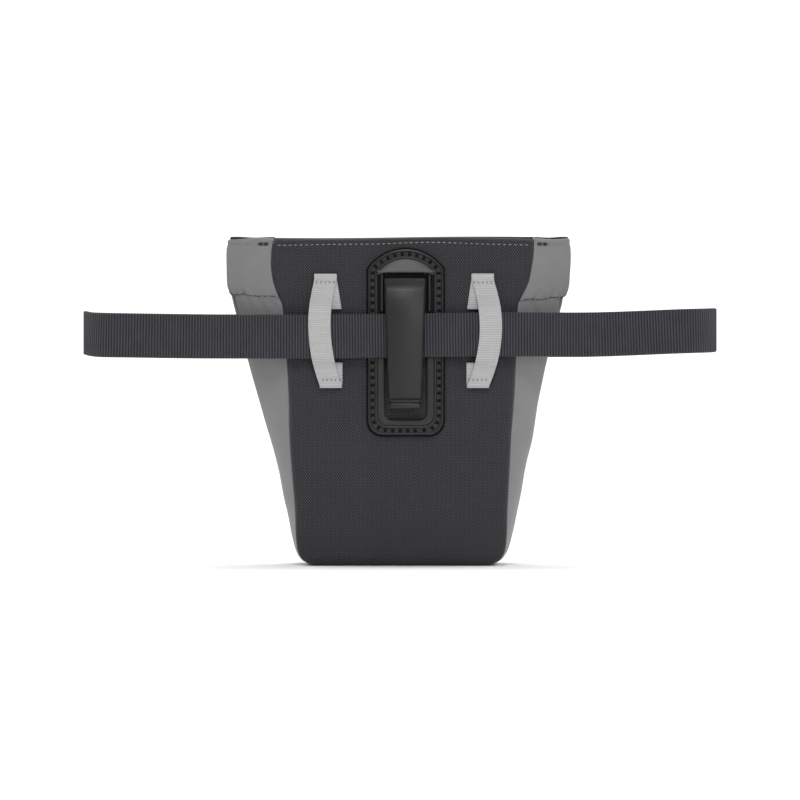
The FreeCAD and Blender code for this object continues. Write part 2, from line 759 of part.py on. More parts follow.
def plate_wire(inset):
    """The plate's outline as a wire, for laying stitches along the channel."""
    steps = plate_steps(inset)
    points = [FreeCAD.Vector(as_size(s[0]).value, as_size(s[1]).value, 0) for s in steps]
    edges = []
    for corner, step in enumerate(steps):
        start = points[corner - 1]
        finish = points[corner]
        if len(step) == 2:
            edges.append(Part.makeLine(start, finish))
        else:
            radius = as_size(step[2]).value
            edges.append(arc_edge(start, finish, radius, step[3]).toShape())
    wire = Part.Wire(edges)
    wire.rotate(FreeCAD.Vector(0, 0, 0), FreeCAD.Vector(1, 0, 0), 90)
    return wire


def clip_stitches():
    floor = (back - dim("plate_thickness") + dim("channel_depth")).value
    inset = (dim("lip_width") + dim("frame_inset")) / 2
    length = dim("stitch_length").value
    thread = dim("stitch_width").value
    wire = plate_wire(inset)
    return [(x, z, turn, length, floor - thread)
            for x, z, turn in walk(wire, dim("stitch_pitch").value)]


thread_bars("clip_stitching", clip_stitches())


# ---------------------------------------------------------------- belt, belt loops and buckle

def flat_strip(label, path, thickness, width, origin, turn):
    """A strap bent along a plane path of (u, v) or (u, v, radius, left) steps.

    The path is the strap's right-hand face seen along its width."""
    points = [FreeCAD.Vector(as_size(s[0]).value, as_size(s[1]).value, 0) for s in path]
    edges = []
    for start, finish, step in zip(points[:-1], points[1:], path[1:]):
        if len(step) == 2:
            edges.append(Part.makeLine(start, finish))
        else:
            edges.append(arc_edge(start, finish, as_size(step[2]).value, step[3]).toShape())
    line = Part.Wire(edges)
    face = line.makeOffset2D(thickness.value, join=2, fill=True, openResult=True)
    solid = face.extrude(FreeCAD.Vector(0, 0, width.value))
    feature = doc.addObject("Part::Feature", label + "_strap")
    feature.Shape = solid
    feature.Placement = FreeCAD.Placement(origin, turn)
    return node(feature, label), line.Length


belt_low = dim("belt_height") - dim("belt_width") / 2
belt_back = plate_face - dim("belt_clearance") - dim("belt_thickness") / 2
belt_front = back + dim("front_run")
bar_line = belt_front + dim("bar_wrap")
belt_end = dim("belt_half_span") - dim("belt_thickness") / 2
second_run = belt_front + dim("belt_thickness") + dim("run_gap")


def make_belt():
    """The closed belt from its sewn end round the wearer's side to the adjusting tail."""
    half = dim("belt_thickness") / 2
    corner = belt_end - dim("belt_turn")
    wrap = dim("bar_wrap") - half
    slope_start = dim("wrap_slope_start")
    slope_end = dim("wrap_slope_end")
    socket = dim("socket_bar")
    plug = dim("plug_bar")
    path = [
        (dim("sewn_end"), second_run - half),
        (socket - slope_end, second_run - half),
        (socket - slope_start, bar_line + wrap),
        (socket, bar_line + wrap),
        (socket, bar_line - wrap, wrap, False),
        (-corner, belt_front + half),
    ]
    path += [
        (-belt_end - half, belt_front - dim("belt_turn"), dim("belt_turn") + half, True),
        (-belt_end - half, belt_back + dim("belt_turn")),
        (-corner, belt_back - half, dim("belt_turn") + half, True),
        (corner, belt_back - half),
        (belt_end + half, belt_back + dim("belt_turn"), dim("belt_turn") + half, True),
        (belt_end + half, belt_front - dim("belt_turn")),
        (corner, belt_front + half, dim("belt_turn") + half, True),
        (plug, belt_front + half),
        (plug, bar_line + wrap, wrap, False),
        (plug + slope_start, bar_line + wrap),
        (plug + slope_end, second_run - half),
        (dim("tail_end"), second_run - half),
    ]
    return flat_strip("belt_webbing", path, -dim("belt_thickness"), dim("belt_width"),
                      FreeCAD.Vector(0, 0, belt_low.value), FreeCAD.Rotation())


belt_length = make_belt()[1]


def make_loop(side):
    """One sewn loop: turned ends flat on the panel, standing out over the belt between."""
    depth = dim("strap_thickness")
    rest = back - depth - dim("strap_fold")
    over = belt_back - dim("belt_thickness") / 2 - dim("strap_clearance")
    top = dim("strap_top")
    foot = dim("strap_foot")
    upper = dim("belt_height") + dim("belt_width") / 2
    lower = dim("belt_height") - dim("belt_width") / 2
    path = [
        (back - dim("contact_gap"), dim("upper_tail")),
        (back - dim("contact_gap"), top),
        (rest - depth, top),
        (rest - depth, upper + dim("strap_bend_start")),
        (over - depth, upper + dim("strap_bend_end")),
        (over - depth, lower - dim("strap_bend_end")),
        (rest - depth, lower - dim("strap_bend_start")),
        (rest - depth, foot),
        (back - dim("contact_gap"), foot),
        (back - dim("contact_gap"), dim("lower_tail")),
    ]
    turn = FreeCAD.Rotation(FreeCAD.Vector(1, 1, 1), 120)
    middle = dim(side + "_strap_x")
    start = FreeCAD.Vector((middle - dim("strap_width") / 2).value, 0, 0)
    return flat_strip(side + "_loop", path, -depth, dim("strap_width"), start, turn)


loop_lengths = [make_loop(side)[1] for side in ("left", "right")]


def loop_stitches():
    """Rows of short stitches across both ends of each loop."""
    spots = []
    face = (back - dim("strap_thickness") * 2 - dim("strap_fold") - dim("stitch_width")).value
    pitch = dim("tack_pitch").value
    length = dim("tack_length").value
    for side in ("left", "right"):
        middle = dim(side + "_strap_x").value
        for level in (dim("strap_top") - dim("tack_from_top"),
                      dim("strap_foot") + dim("tack_from_foot")):
            for step in range(-2, 3):
                spots.append((middle + step * pitch, level.value, 90, length, face))
    return spots


thread_bars("loop_stitching", loop_stitches())


def box(name, low_x, high_x, half_y, low_z, high_z, centre_y=None):
    """A block between two x values, half_y either side of the buckle's plane."""
    centre = bar_line if centre_y is None else centre_y
    block = doc.addObject("Part::Box", name)
    bind(block, "Length", high_x - low_x)
    bind(block, "Width", half_y * 2)
    bind(block, "Height", high_z - low_z)
    place(block, low_x, centre - half_y, low_z)
    return block


def upright_bar(name, x, half_z):
    bar = doc.addObject("Part::Cylinder", name)
    bind(bar, "Radius", dim("bar_radius"))
    bind(bar, "Height", half_z * 2)
    place(bar, x, bar_line, dim("belt_height") - half_z)
    return bar


def fuse(name, shapes):
    joined = doc.addObject("Part::MultiFuse", name)
    joined.Shapes = shapes
    return joined


def cut(name, base, tool):
    result = doc.addObject("Part::Cut", name)
    result.Base = base
    result.Tool = tool
    return result


def soften(name, base, radius, chosen):
    """Round the chosen edges of a block."""
    doc.recompute()
    rounded = doc.addObject("Part::Fillet", name)
    rounded.Base = base
    rounded.Edges = [(i + 1, radius, radius) for i, e in enumerate(base.Shape.Edges) if chosen(e)]
    doc.recompute()
    return rounded


def make_socket():
    level = dim("belt_height")
    half = dim("buckle_half")
    deep = dim("buckle_depth") / 2
    shell = box("socket_shell", dim("socket_start"), dim("socket_end"), deep,
                level - half, level + half)
    shell = soften("socket_rounded", shell, dim("shell_round").value,
                   lambda e: straight_along(e, 0))
    hollow = box("socket_hollow", dim("hollow_start"), dim("socket_end") + beyond,
                 dim("hollow_depth") / 2, level - dim("hollow_half"), level + dim("hollow_half"))
    windows = box("socket_windows", dim("window_start"), dim("window_end"),
                  dim("hollow_depth") / 2, level - half - beyond, level + half + beyond)
    rails = [
        box("socket_rail_%s" % word, dim("socket_bar") - dim("bar_radius"),
            dim("socket_start") + dim("sunk"), dim("rail_depth") / 2, low, high)
        for word, low, high in (
            ("low", level - dim("rail_outer"), level - dim("rail_inner")),
            ("high", level + dim("rail_inner"), level + dim("rail_outer")))
    ]
    bar = upright_bar("socket_cross_bar", dim("socket_bar"), dim("rail_inner") + dim("sunk"))
    solid = fuse("socket_blank", [shell, bar] + rails)
    return node(cut("socket_shape", solid, fuse("socket_inside", [hollow, windows])),
                "buckle_socket")


def make_plug():
    level = dim("belt_height")
    half = dim("buckle_half")
    shoulder = box("plug_shoulder", dim("plug_start"), dim("plug_end"), dim("buckle_depth") / 2,
                   level - half, level + half)
    shoulder = soften("plug_rounded", shoulder, dim("shell_round").value,
                      lambda e: straight_along(e, 0))
    guide = box("plug_guide", dim("guide_start"), dim("plug_start") + dim("sunk"),
                dim("guide_depth") / 2, level - dim("guide_half"), level + dim("guide_half"))
    rails = [
        box("plug_rail_%s" % word, dim("plug_end") - dim("sunk"),
            dim("plug_bar") + dim("bar_radius"), dim("rail_depth") / 2, low, high)
        for word, low, high in (
            ("low", level - dim("rail_outer"), level - dim("rail_inner")),
            ("high", level + dim("rail_inner"), level + dim("rail_outer")))
    ]
    bar = upright_bar("plug_cross_bar", dim("plug_bar"), dim("rail_inner") + dim("sunk"))
    notches = []
    reach = dim("prong_knuckle") + gap
    for word, sign in (("low", -1), ("high", 1)):
        middle = level + dim("prong_pivot_z") * sign
        notches.append(box("plug_notch_" + word, dim("plug_start") - beyond,
                           dim("prong_pivot_x") + reach, dim("prong_depth") / 2 + gap,
                           middle - reach - dim("notch_room"),
                           middle + reach + dim("notch_room")))
    solid = fuse("plug_blank", [shoulder, guide, bar] + rails)
    return node(cut("plug_shape", solid, fuse("plug_notches", notches)), "buckle_plug")


def make_prong(word, sign):
    """One springy release prong: a rounded root, an arm and a barb in the side window."""
    body = new_body("buckle_prong_" + word)
    sketch = new_sketch(body, "prong_" + word, "XZ_Plane")
    level = dim("belt_height")
    root_x = dim("prong_pivot_x")
    middle = dim("prong_pivot_z")
    knuckle = dim("prong_knuckle")
    barb = dim("buckle_half") - dim("barb_inset")
    tip = dim("window_start") + dim("prong_tip_x")

    def at(distance):
        return level + distance * sign

    trace(sketch, [
        (root_x, at(middle - knuckle)),
        (root_x, at(middle + knuckle), knuckle, sign > 0),
        (dim("window_end") - dim("barb_end"), at(middle + knuckle)),
        (dim("window_end") - dim("barb_end"), at(barb)),
        (dim("window_start") + dim("barb_slope_x"), at(barb - dim("barb_slope_z"))),
        (tip, at(dim("hollow_half") - dim("prong_tip_z"))),
        (tip, at(middle - knuckle + dim("prong_thinning"))),
    ])
    pad(body, "prong_%s_bar" % word, sketch, dim("prong_depth"), midplane=True)
    place(body, 0, bar_line, 0)
    return body


make_socket()
make_plug()
make_prong("upper", 1)
make_prong("lower", -1)


def make_ring(label, middle_x, length, wall):
    """A closed band round the belt and its adjusting tail."""
    level = dim("belt_height")
    half = dim("belt_width") / 2 + dim("ring_edge_room")
    layers = (belt_front + second_run) / 2
    deep = (second_run - belt_front + dim("belt_thickness")) / 2 + dim("ring_face_room")
    low_x = dim(middle_x) - dim(length) / 2
    high_x = dim(middle_x) + dim(length) / 2
    outside = box(label + "_outside", low_x, high_x, deep + wall, level - half - wall,
                  level + half + wall, layers)
    outside = soften(label + "_rounded", outside, dim("ring_round").value,
                     lambda e: straight_along(e, 0))
    inside = box(label + "_inside", low_x - beyond, high_x + beyond, deep, level - half,
                 level + half, layers)
    return node(cut(label + "_shape", outside, inside), label)


make_ring("belt_keeper", "keeper_x", "keeper_length", dim("keeper_wall"))
make_ring("tail_band", "band_x", "band_length", dim("band_wall"))


# ---------------------------------------------------------------- checks and files

def write_parts():
    doc.recompute()
    for thing in doc.Objects:
        if "Invalid" in thing.State or "Error" in thing.State:
            raise ValueError("%s did not compute: %s" % (thing.Label, thing.State))
    os.makedirs("parts", exist_ok=True)
    for thing in NODES:
        shape = thing.Shape
        if shape.isNull() or not shape.isValid() or shape.Volume <= 0:
            raise ValueError("%s has no sound shape" % thing.Label)
        shape.exportStep("parts/%s.step" % thing.Label)
        print("%-22s %10.1f mm3  %s" % (thing.Label, shape.Volume, shape.BoundBox))
    print("belt webbing length %.0f mm" % belt_length)
    print("loop strap length %.0f mm" % loop_lengths[0])


write_parts()
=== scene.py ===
import math

import bmesh
import bpy
from bpy.props import FloatProperty, FloatVectorProperty, PointerProperty
from mathutils import Matrix, Vector, noise


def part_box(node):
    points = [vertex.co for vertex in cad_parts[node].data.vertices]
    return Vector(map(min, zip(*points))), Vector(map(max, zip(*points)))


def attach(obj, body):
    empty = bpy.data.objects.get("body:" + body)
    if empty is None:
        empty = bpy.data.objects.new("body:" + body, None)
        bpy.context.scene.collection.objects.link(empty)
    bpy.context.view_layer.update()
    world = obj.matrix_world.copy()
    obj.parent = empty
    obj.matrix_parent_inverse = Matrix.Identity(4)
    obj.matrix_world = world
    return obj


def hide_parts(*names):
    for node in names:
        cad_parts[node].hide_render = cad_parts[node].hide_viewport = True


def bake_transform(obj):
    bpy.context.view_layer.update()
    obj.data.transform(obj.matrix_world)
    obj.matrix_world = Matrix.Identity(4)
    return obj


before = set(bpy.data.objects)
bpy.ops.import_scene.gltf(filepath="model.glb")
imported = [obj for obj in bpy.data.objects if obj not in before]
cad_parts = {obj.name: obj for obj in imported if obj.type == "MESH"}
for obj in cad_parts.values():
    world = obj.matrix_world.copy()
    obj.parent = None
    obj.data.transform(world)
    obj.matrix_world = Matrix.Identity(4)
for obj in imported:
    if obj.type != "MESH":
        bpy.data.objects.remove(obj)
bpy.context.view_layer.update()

bl_info = {
    "name": "Belt pouch",
    "version": (1, 0, 0),
    "blender": (4, 5, 0),
    "location": "View3D > Sidebar > Pouch",
    "description": "Builds a soft belt pouch with its clip, loops and waist belt",
    "category": "Add Mesh",
}

MM = 0.001

# Level stations of the pouch in millimetres, from the base up:
# height, left seam, right seam, left fold, right fold.
STATIONS = [
    (0.0, -39.5, 40.5, -40.2, 41.2),
    (2.3, -44.0, 45.2, -45.0, 46.2),
    (8.0, -46.8, 48.0, -48.3, 50.0),
    (26.0, -47.7, 48.9, -52.3, 54.1),
    (48.0, -49.5, 50.0, -56.8, 58.5),
    (59.0, -50.2, 50.5, -60.0, 61.0),
    (75.0, -50.5, 51.8, -64.5, 63.6),
    (92.0, -51.4, 52.7, -69.1, 67.0),
    (106.0, -52.4, 53.1, -72.6, 70.5),
    (119.0, -53.7, 53.9, -75.9, 74.0),
    (122.5, -55.2, 55.4, -76.8, 74.6),
    (127.0, -57.2, 57.9, -78.1, 76.4),
    (134.5, -58.6, 59.7, -78.4, 77.0),
    (143.0, -58.6, 60.8, -78.5, 77.2),
    (149.0, -57.4, 60.9, -77.7, 76.8),
]
LEFT_SEAM, RIGHT_SEAM, LEFT_FOLD, RIGHT_FOLD = 1, 2, 3, 4

TOP = 149.0
DEPTH_FOOT, DEPTH_TOP = 45.0, 14.0
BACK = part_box("back_panel")[0].y / MM
FRONT_FOOT = BACK + DEPTH_FOOT
LEAN = (DEPTH_FOOT - DEPTH_TOP) / TOP
GUSSET_INSET = 2.3
HEM_RADIUS = 1.7
HEM_STITCH = 146.2
FACING_FOOT = 121.5
LINING_TOP = 123.0
PANEL_THICK, LINING_THICK, GUSSET_THICK = 1.55, 0.4, 1.3
CUFF_SEAM = 122.2
CUFF_LAP = 0.6
PLATE_LOW, PLATE_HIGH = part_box("clip_plate")
CLIP_X = (PLATE_LOW.x + PLATE_HIGH.x) / 2 / MM
CLIP_FOOT = PLATE_LOW.z / MM
CLIP_TOP = PLATE_HIGH.z / MM
BELT_Z = (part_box("belt_webbing")[0].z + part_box("belt_webbing")[1].z) / 2 / MM
PLATE_RISE = 2.6
BELT_GAP, BELT_HALF = 0.3, 0.9
BELT_BACK = BACK - PLATE_RISE - BELT_GAP - BELT_HALF
BELT_FRONT = BACK + 55.75


# ------------------------------------------------------------------ shape helpers

def between(low, high, value):
    """0 below low, 1 above high, eased in between."""
    share = min(1.0, max(0.0, (value - low) / (high - low)))
    return share * share * (3 - 2 * share)


def along_table(table, at, column):
    """A smooth curve through one column of a table, read at its first column's value."""
    last = len(table) - 1
    at = min(max(at, table[0][0]), table[last][0])
    i = 0
    while i < last - 1 and at > table[i + 1][0]:
        i += 1
    span = table[i + 1][0] - table[i][0]
    share = (at - table[i][0]) / span

    def slope(k):
        low, high = max(k - 1, 0), min(k + 1, last)
        return (table[high][column] - table[low][column]) / (table[high][0] - table[low][0])

    start, finish = table[i][column], table[i + 1][column]
    s2, s3 = share * share, share * share * share
    return ((2 * s3 - 3 * s2 + 1) * start + (s3 - 2 * s2 + share) * span * slope(i)
            + (3 * s2 - 2 * s3) * finish + (s3 - s2) * span * slope(i + 1))


def seam_x(side, z):
    """Where a side's seam with the panels lies."""
    return along_table(STATIONS, z, LEFT_SEAM if side < 0 else RIGHT_SEAM)


def fold_x(side, z):
    """Where a side's outer fold lies."""
    return along_table(STATIONS, z, LEFT_FOLD if side < 0 else RIGHT_FOLD)


def ripple(x, y, z, size):
    """Even, repeatable cloth unevenness between -1 and 1, with features about size across."""
    return noise.noise(Vector((x / size, y / size, z / size)))


def foot_roll(z, radius=5.0):
    """How far a wall has turned under at a height near the resting surface."""
    if z >= radius:
        return 0.0
    rise = radius - max(z, 0.0)
    return radius - math.sqrt(max(radius * radius - rise * rise, 0.0))


def edge_roll(u):
    """How far a panel curls back at its side seams."""
    return 1.5 * max(0.0, (abs(u) - 0.94) / 0.06) ** 2


def hem_relief(z, stitch_z):
    """Outward swell of the turned hem above its stitch line, pinched at the stitches."""
    swell = 0.35 * between(stitch_z, stitch_z + 0.9, z) * (1 - between(TOP - 0.5, TOP + 0.3, z))
    return swell - 0.3 * math.exp(-((z - stitch_z) / 0.45) ** 2)


def hem_line(x):
    """Height of the stitch line under the mouth of the back panel."""
    return HEM_STITCH + 0.35 * math.cos(x / 22.0) + 0.15 * math.sin(x / 7.0)


def back_wall(u, z):
    """A point of the back panel's outer face: u from -1 at the left seam to 1 at the right."""
    left, right = seam_x(-1, z), seam_x(1, z)
    x = (left + right) / 2 + u * (right - left) / 2
    belly = 1.9 * (1 - u * u) * math.sin(math.pi * min(max((z - 3) / 54, 0), 1)) ** 2
    tucked = 1.5 * between(0.82, 0.95, abs(u)) * math.exp(-((z - 106) / 20) ** 2)
    soft = 0.45 * ripple(x, 3.0, z, 26.0) * (1 - between(54, 60, z)) * (1 - u * u)
    soft += 0.25 * ripple(x, 9.0, z, 14.0) * between(20, 30, abs(x - CLIP_X))
    y = BACK - belly + tucked + soft + edge_roll(u) + foot_roll(z) - hem_relief(z, hem_line(x))
    return Vector((x, y, z + wave_top(x, z)))


def wave_top(x, z):
    """Slight unevenness of the mouth's height."""
    return (0.35 * math.sin(x / 17.0) + 0.25 * math.cos(x / 31.0)) * between(130, TOP, z)


def front_plane(z):
    """Where the flat front would stand at a height."""
    return FRONT_FOOT - LEAN * z


def front_wall(u, z):
    """A point of the front panel's outer face."""
    left, right = seam_x(-1, z), seam_x(1, z)
    x = (left + right) / 2 + u * (right - left) / 2
    belly = 3.6 * (1 - u * u) * math.sin(math.pi * min(max((z - 2) / 118, 0), 1)) ** 1.5
    soft = 0.7 * ripple(x, 31.0, z, 30.0) * (1 - u * u) * between(4, 20, z)
    y = front_plane(z) + belly + soft - edge_roll(u) - foot_roll(z) + hem_relief(z, HEM_STITCH)
    return Vector((x, y, z + 0.9 + 0.35 * math.sin(x / 23.0) * between(130, TOP, z)))


def gusset_wall(side, s, z, grow=0.0):
    """A point of a side gusset: s from -1 at the back seam, 0 at the fold, to 1 at the front."""
    seam, fold = seam_x(side, z), fold_x(side, z)
    near = BACK + GUSSET_INSET - grow + foot_roll(z)
    far = front_plane(z) - GUSSET_INSET + grow - foot_roll(z)
    bend = 2.3 - 1.05 * between(10, 95, z)
    reach = (fold - seam) + side * grow
    x = seam + reach * (1 - abs(s) ** bend)
    y = (near + far) / 2 + (far - near) / 2 * s
    inner = 1 - abs(abs(s) * 2 - 1)
    soft = 0.5 * ripple(x, y * 0.5, z, 17.0) + 0.22 * ripple(x, y, z, 6.0)
    crumple = 1.25 * ripple(x * 1.5 + z * 0.9, y, z * 0.45, 6.0)
    soft += crumple * between(98, 119, z) * (1 - between(123, 130, z))
    soft += 0.35 * ripple(x + z * 0.4, y * 0.5, z * 0.3, 9.0) * (1 - between(98, 119, z))
    y += soft * (0.4 + 0.6 * inner) * max(-1.0, min(1.0, s * 5))
    x += side * 0.35 * ripple(side * 40.0, y * 0.3, z, 12.0) * (1 - abs(s))
    return Vector((x, y, z))


def cuff_wave(side, s):
    """How far a cuff's lower edge strays from the level of its seam."""
    return 0.25 * math.sin(s * 13) + 1.9 * (1 - abs(s)) + (0.2 if side < 0 else -1.2)


# ------------------------------------------------------------------ mesh helpers

def finish_piece(name, bm, material, body=None):
    """Turn a mesh in millimetres into a named piece in metres."""
    bmesh.ops.scale(bm, vec=(MM, MM, MM), verts=bm.verts)
    bmesh.ops.recalc_face_normals(bm, faces=bm.faces)
    mesh = bpy.data.meshes.new(name)
    bm.to_mesh(mesh)
    bm.free()
    for face in mesh.polygons:
        face.use_smooth = True
    piece = bpy.data.objects.new(name, mesh)
    bpy.context.scene.collection.objects.link(piece)
    piece.data.materials.append(material)
    if body:
        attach(piece, body)
    return piece


def cloth_grid(columns, rows, place):
    """A grid laid out by place(u, v) -> (point, (cloth x, cloth y)), u and v from 0 to 1."""
    bm = bmesh.new()
    layer = bm.verts.layers.float_vector.new("cloth")
    bmesh.ops.create_grid(bm, x_segments=columns, y_segments=rows, size=0.5)
    for vert in bm.verts:
        point, cloth = place(vert.co.x + 0.5, vert.co.y + 0.5)
        vert[layer] = (cloth[0], cloth[1], 0.0)
        vert.co = point
    bm.normal_update()
    return bm


def thicken(bm, thickness, toward, inner_material=0):
    """Give an open shell its thickness, on the side that toward points to."""
    bm.normal_update()
    total = Vector()
    for face in bm.faces:
        total += face.normal * face.calc_area()
    way = thickness if total.dot(Vector(toward)) > 0 else -thickness
    offset = bm.verts.layers.float_vector.new("offset")
    for vert in bm.verts:
        vert[offset] = vert.normal * way
    made = bmesh.ops.extrude_face_region(bm, geom=bm.faces[:])
    for item in made["geom"]:
        if isinstance(item, bmesh.types.BMVert):
            item.co += item[offset]
        elif isinstance(item, bmesh.types.BMFace):
            item.material_index = inner_material
    bm.verts.layers.float_vector.remove(offset)


def close_ends(bm):
    """Fill the open ends of a tube."""
    rims = [edge for edge in bm.edges if edge.is_boundary]
    bmesh.ops.holes_fill(bm, edges=rims, sides=0)


def rounded_section(half_wide, half_thick, steps=4):
    """Points round a flat strap's section, as (across, out) pairs, corners well rounded."""
    radius = half_thick * 0.8
    points = []
    for corner, (cx, cy) in enumerate(((1, 1), (-1, 1), (-1, -1), (1, -1))):
        for k in range(steps):
            angle = math.pi / 2 * (corner + k / (steps - 1))
            points.append((cx * (half_wide - radius) + radius * math.cos(angle),
                           cy * (half_thick - radius) + radius * math.sin(angle)))
    return points


def spaced(points, step):
    """The same line with points every step along it."""
    out = [points[0].copy()]
    carry = 0.0
    for start, finish in zip(points[:-1], points[1:]):
        span = (finish - start).length
        if span < 1e-9:
            continue
        at = step - carry
        while at <= span:
            out.append(start.lerp(finish, at / span))
            at += step
        carry = span - (at - step)
    return out


def eased(points, passes):
    """Round off small corners of a line by averaging neighbours."""
    for _ in range(passes):
        middle = [(a + b * 2 + c) / 4 for a, b, c in zip(points[:-2], points[1:-1], points[2:])]
        points = [points[0]] + middle + [points[-1]]
    return points


def through(controls, per_span):
    """A smooth line through control points."""
    out = []
    last = len(controls) - 1
    for i in range(last):
        p0, p1 = controls[max(i - 1, 0)], controls[i]
        p2, p3 = controls[i + 1], controls[min(i + 2, last)]
        for k in range(per_span):
            t = k / per_span
            out.append(0.5 * ((2 * p1) + (p2 - p0) * t + (2 * p0 - 5 * p1 + 4 * p2 - p3) * t * t
                              + (3 * p1 - p0 - 3 * p2 + p3) * t * t * t))
    out.append(controls[last].copy())
    return out


# How much of a tape's rib shows as waves along its edges.
SELVEDGE_SHARE = 0.025


def strap(line, across, section, ribs, rib_height, sheared=False):
    """Woven tape along a line; across is the width's direction, ribs their spacing."""
    count = len(line)
    bm = bmesh.new()
    layer = bm.verts.layers.float_vector.new("cloth")
    bmesh.ops.create_grid(bm, x_segments=count - 1, y_segments=len(section), size=0.5)
    lengths = [0.0]
    for start, finish in zip(line[:-1], line[1:]):
        lengths.append(lengths[-1] + (finish - start).length)
    frames = []
    for i, point in enumerate(line):
        tangent = (line[min(i + 1, count - 1)] - line[max(i - 1, 0)]).normalized()
        wide = across if sheared else (across - tangent * across.dot(tangent)).normalized()
        frames.append((point, wide, tangent.cross(wide).normalized()))
    for vert in bm.verts:
        i = round((vert.co.x + 0.5) * (count - 1))
        k = round((vert.co.y + 0.5) * len(section)) % len(section)
        point, wide, out = frames[i]
        a, b = section[k]
        phase = math.cos(2 * math.pi * lengths[i] / ribs)
        crown = 1 + rib_height * phase
        edge = 1 + SELVEDGE_SHARE * rib_height * phase * abs(a) / section[0][0]
        vert[layer] = (lengths[i], a, 1.0 if b > 0 else -1.0)
        vert.co = point + wide * (a * edge) + out * (b * crown)
    bmesh.ops.remove_doubles(bm, verts=bm.verts, dist=1e-5)
    close_ends(bm)
    return bm


def stitch_row(name, spots, length, thick, material, body=None):
    """Thread stitches as one piece: spots are (centre, direction, outward) in millimetres."""
    bm = bmesh.new()
    for centre, direction, outward in spots:
        along = direction.normalized()
        out = (outward - along * outward.dot(along)).normalized()
        side = out.cross(along)
        turn = Matrix((along, side, out)).transposed().to_4x4()
        size = Matrix.Diagonal((length / 2, thick / 2, thick / 2, 1.0))
        place = Matrix.Translation(centre) @ turn @ size
        bmesh.ops.create_uvsphere(bm, u_segments=8, v_segments=6, radius=1.0, matrix=place)
    row = finish_piece(name, bm, material, body)
    return row


def walk_evenly(line, pitch):
    """Middles and directions of even steps along a line."""
    points = spaced(line, pitch / 2)
    return [(points[i], points[i + 1] - points[i - 1]) for i in range(1, len(points) - 1, 2)]


def refined(name, node, material, bevel, body):
    """A piece with softened edges that stands for a moulded CAD node."""
    bm = bmesh.new()
    bm.from_mesh(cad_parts[node].data)
    bmesh.ops.scale(bm, vec=(1 / MM, 1 / MM, 1 / MM), verts=bm.verts)
    bmesh.ops.remove_doubles(bm, verts=bm.verts, dist=1e-3)
    bmesh.ops.dissolve_limit(bm, angle_limit=math.radians(3), verts=bm.verts, edges=bm.edges)
    sharp = [edge for edge in bm.edges
             if len(edge.link_faces) == 2 and edge.calc_face_angle(0) > math.radians(35)]
    bmesh.ops.bevel(bm, geom=sharp, offset=bevel, offset_type="OFFSET", segments=2,
                    profile=0.5, affect="EDGES", clamp_overlap=True, material=-1)
    wide = [face for face in bm.faces if len(face.verts) > 4]
    bmesh.ops.triangulate(bm, faces=wide)
    piece = finish_piece(name, bm, material, body)
    shading = piece.modifiers.new("even shading", "WEIGHTED_NORMAL")
    shading.keep_sharp = True
    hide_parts(node)
    return piece


# ------------------------------------------------------------------ materials

class Wire:
    """A node's output that can be used in Python sums."""

    def __init__(self, recipe, socket):
        self.recipe = recipe
        self.socket = socket

    def sum(self, operation, first, second=0.0):
        return self.recipe.node("ShaderNodeMath", {"operation": operation}, {0: first, 1: second})

    def __add__(self, other):
        return self.sum("ADD", self, other)

    def __radd__(self, other):
        return self.sum("ADD", other, self)

    def __sub__(self, other):
        return self.sum("SUBTRACT", self, other)

    def __rsub__(self, other):
        return self.sum("SUBTRACT", other, self)

    def __mul__(self, other):
        return self.sum("MULTIPLY", self, other)

    def __rmul__(self, other):
        return self.sum("MULTIPLY", other, self)

    def __truediv__(self, other):
        return self.sum("DIVIDE", self, other)

    def sine(self):
        return self.sum("SINE", self)

    def cosine(self):
        return self.sum("COSINE", self)

    def floor(self):
        return self.sum("FLOOR", self)

    def rest(self):
        """What is left after the whole number."""
        return self.sum("FRACT", self)


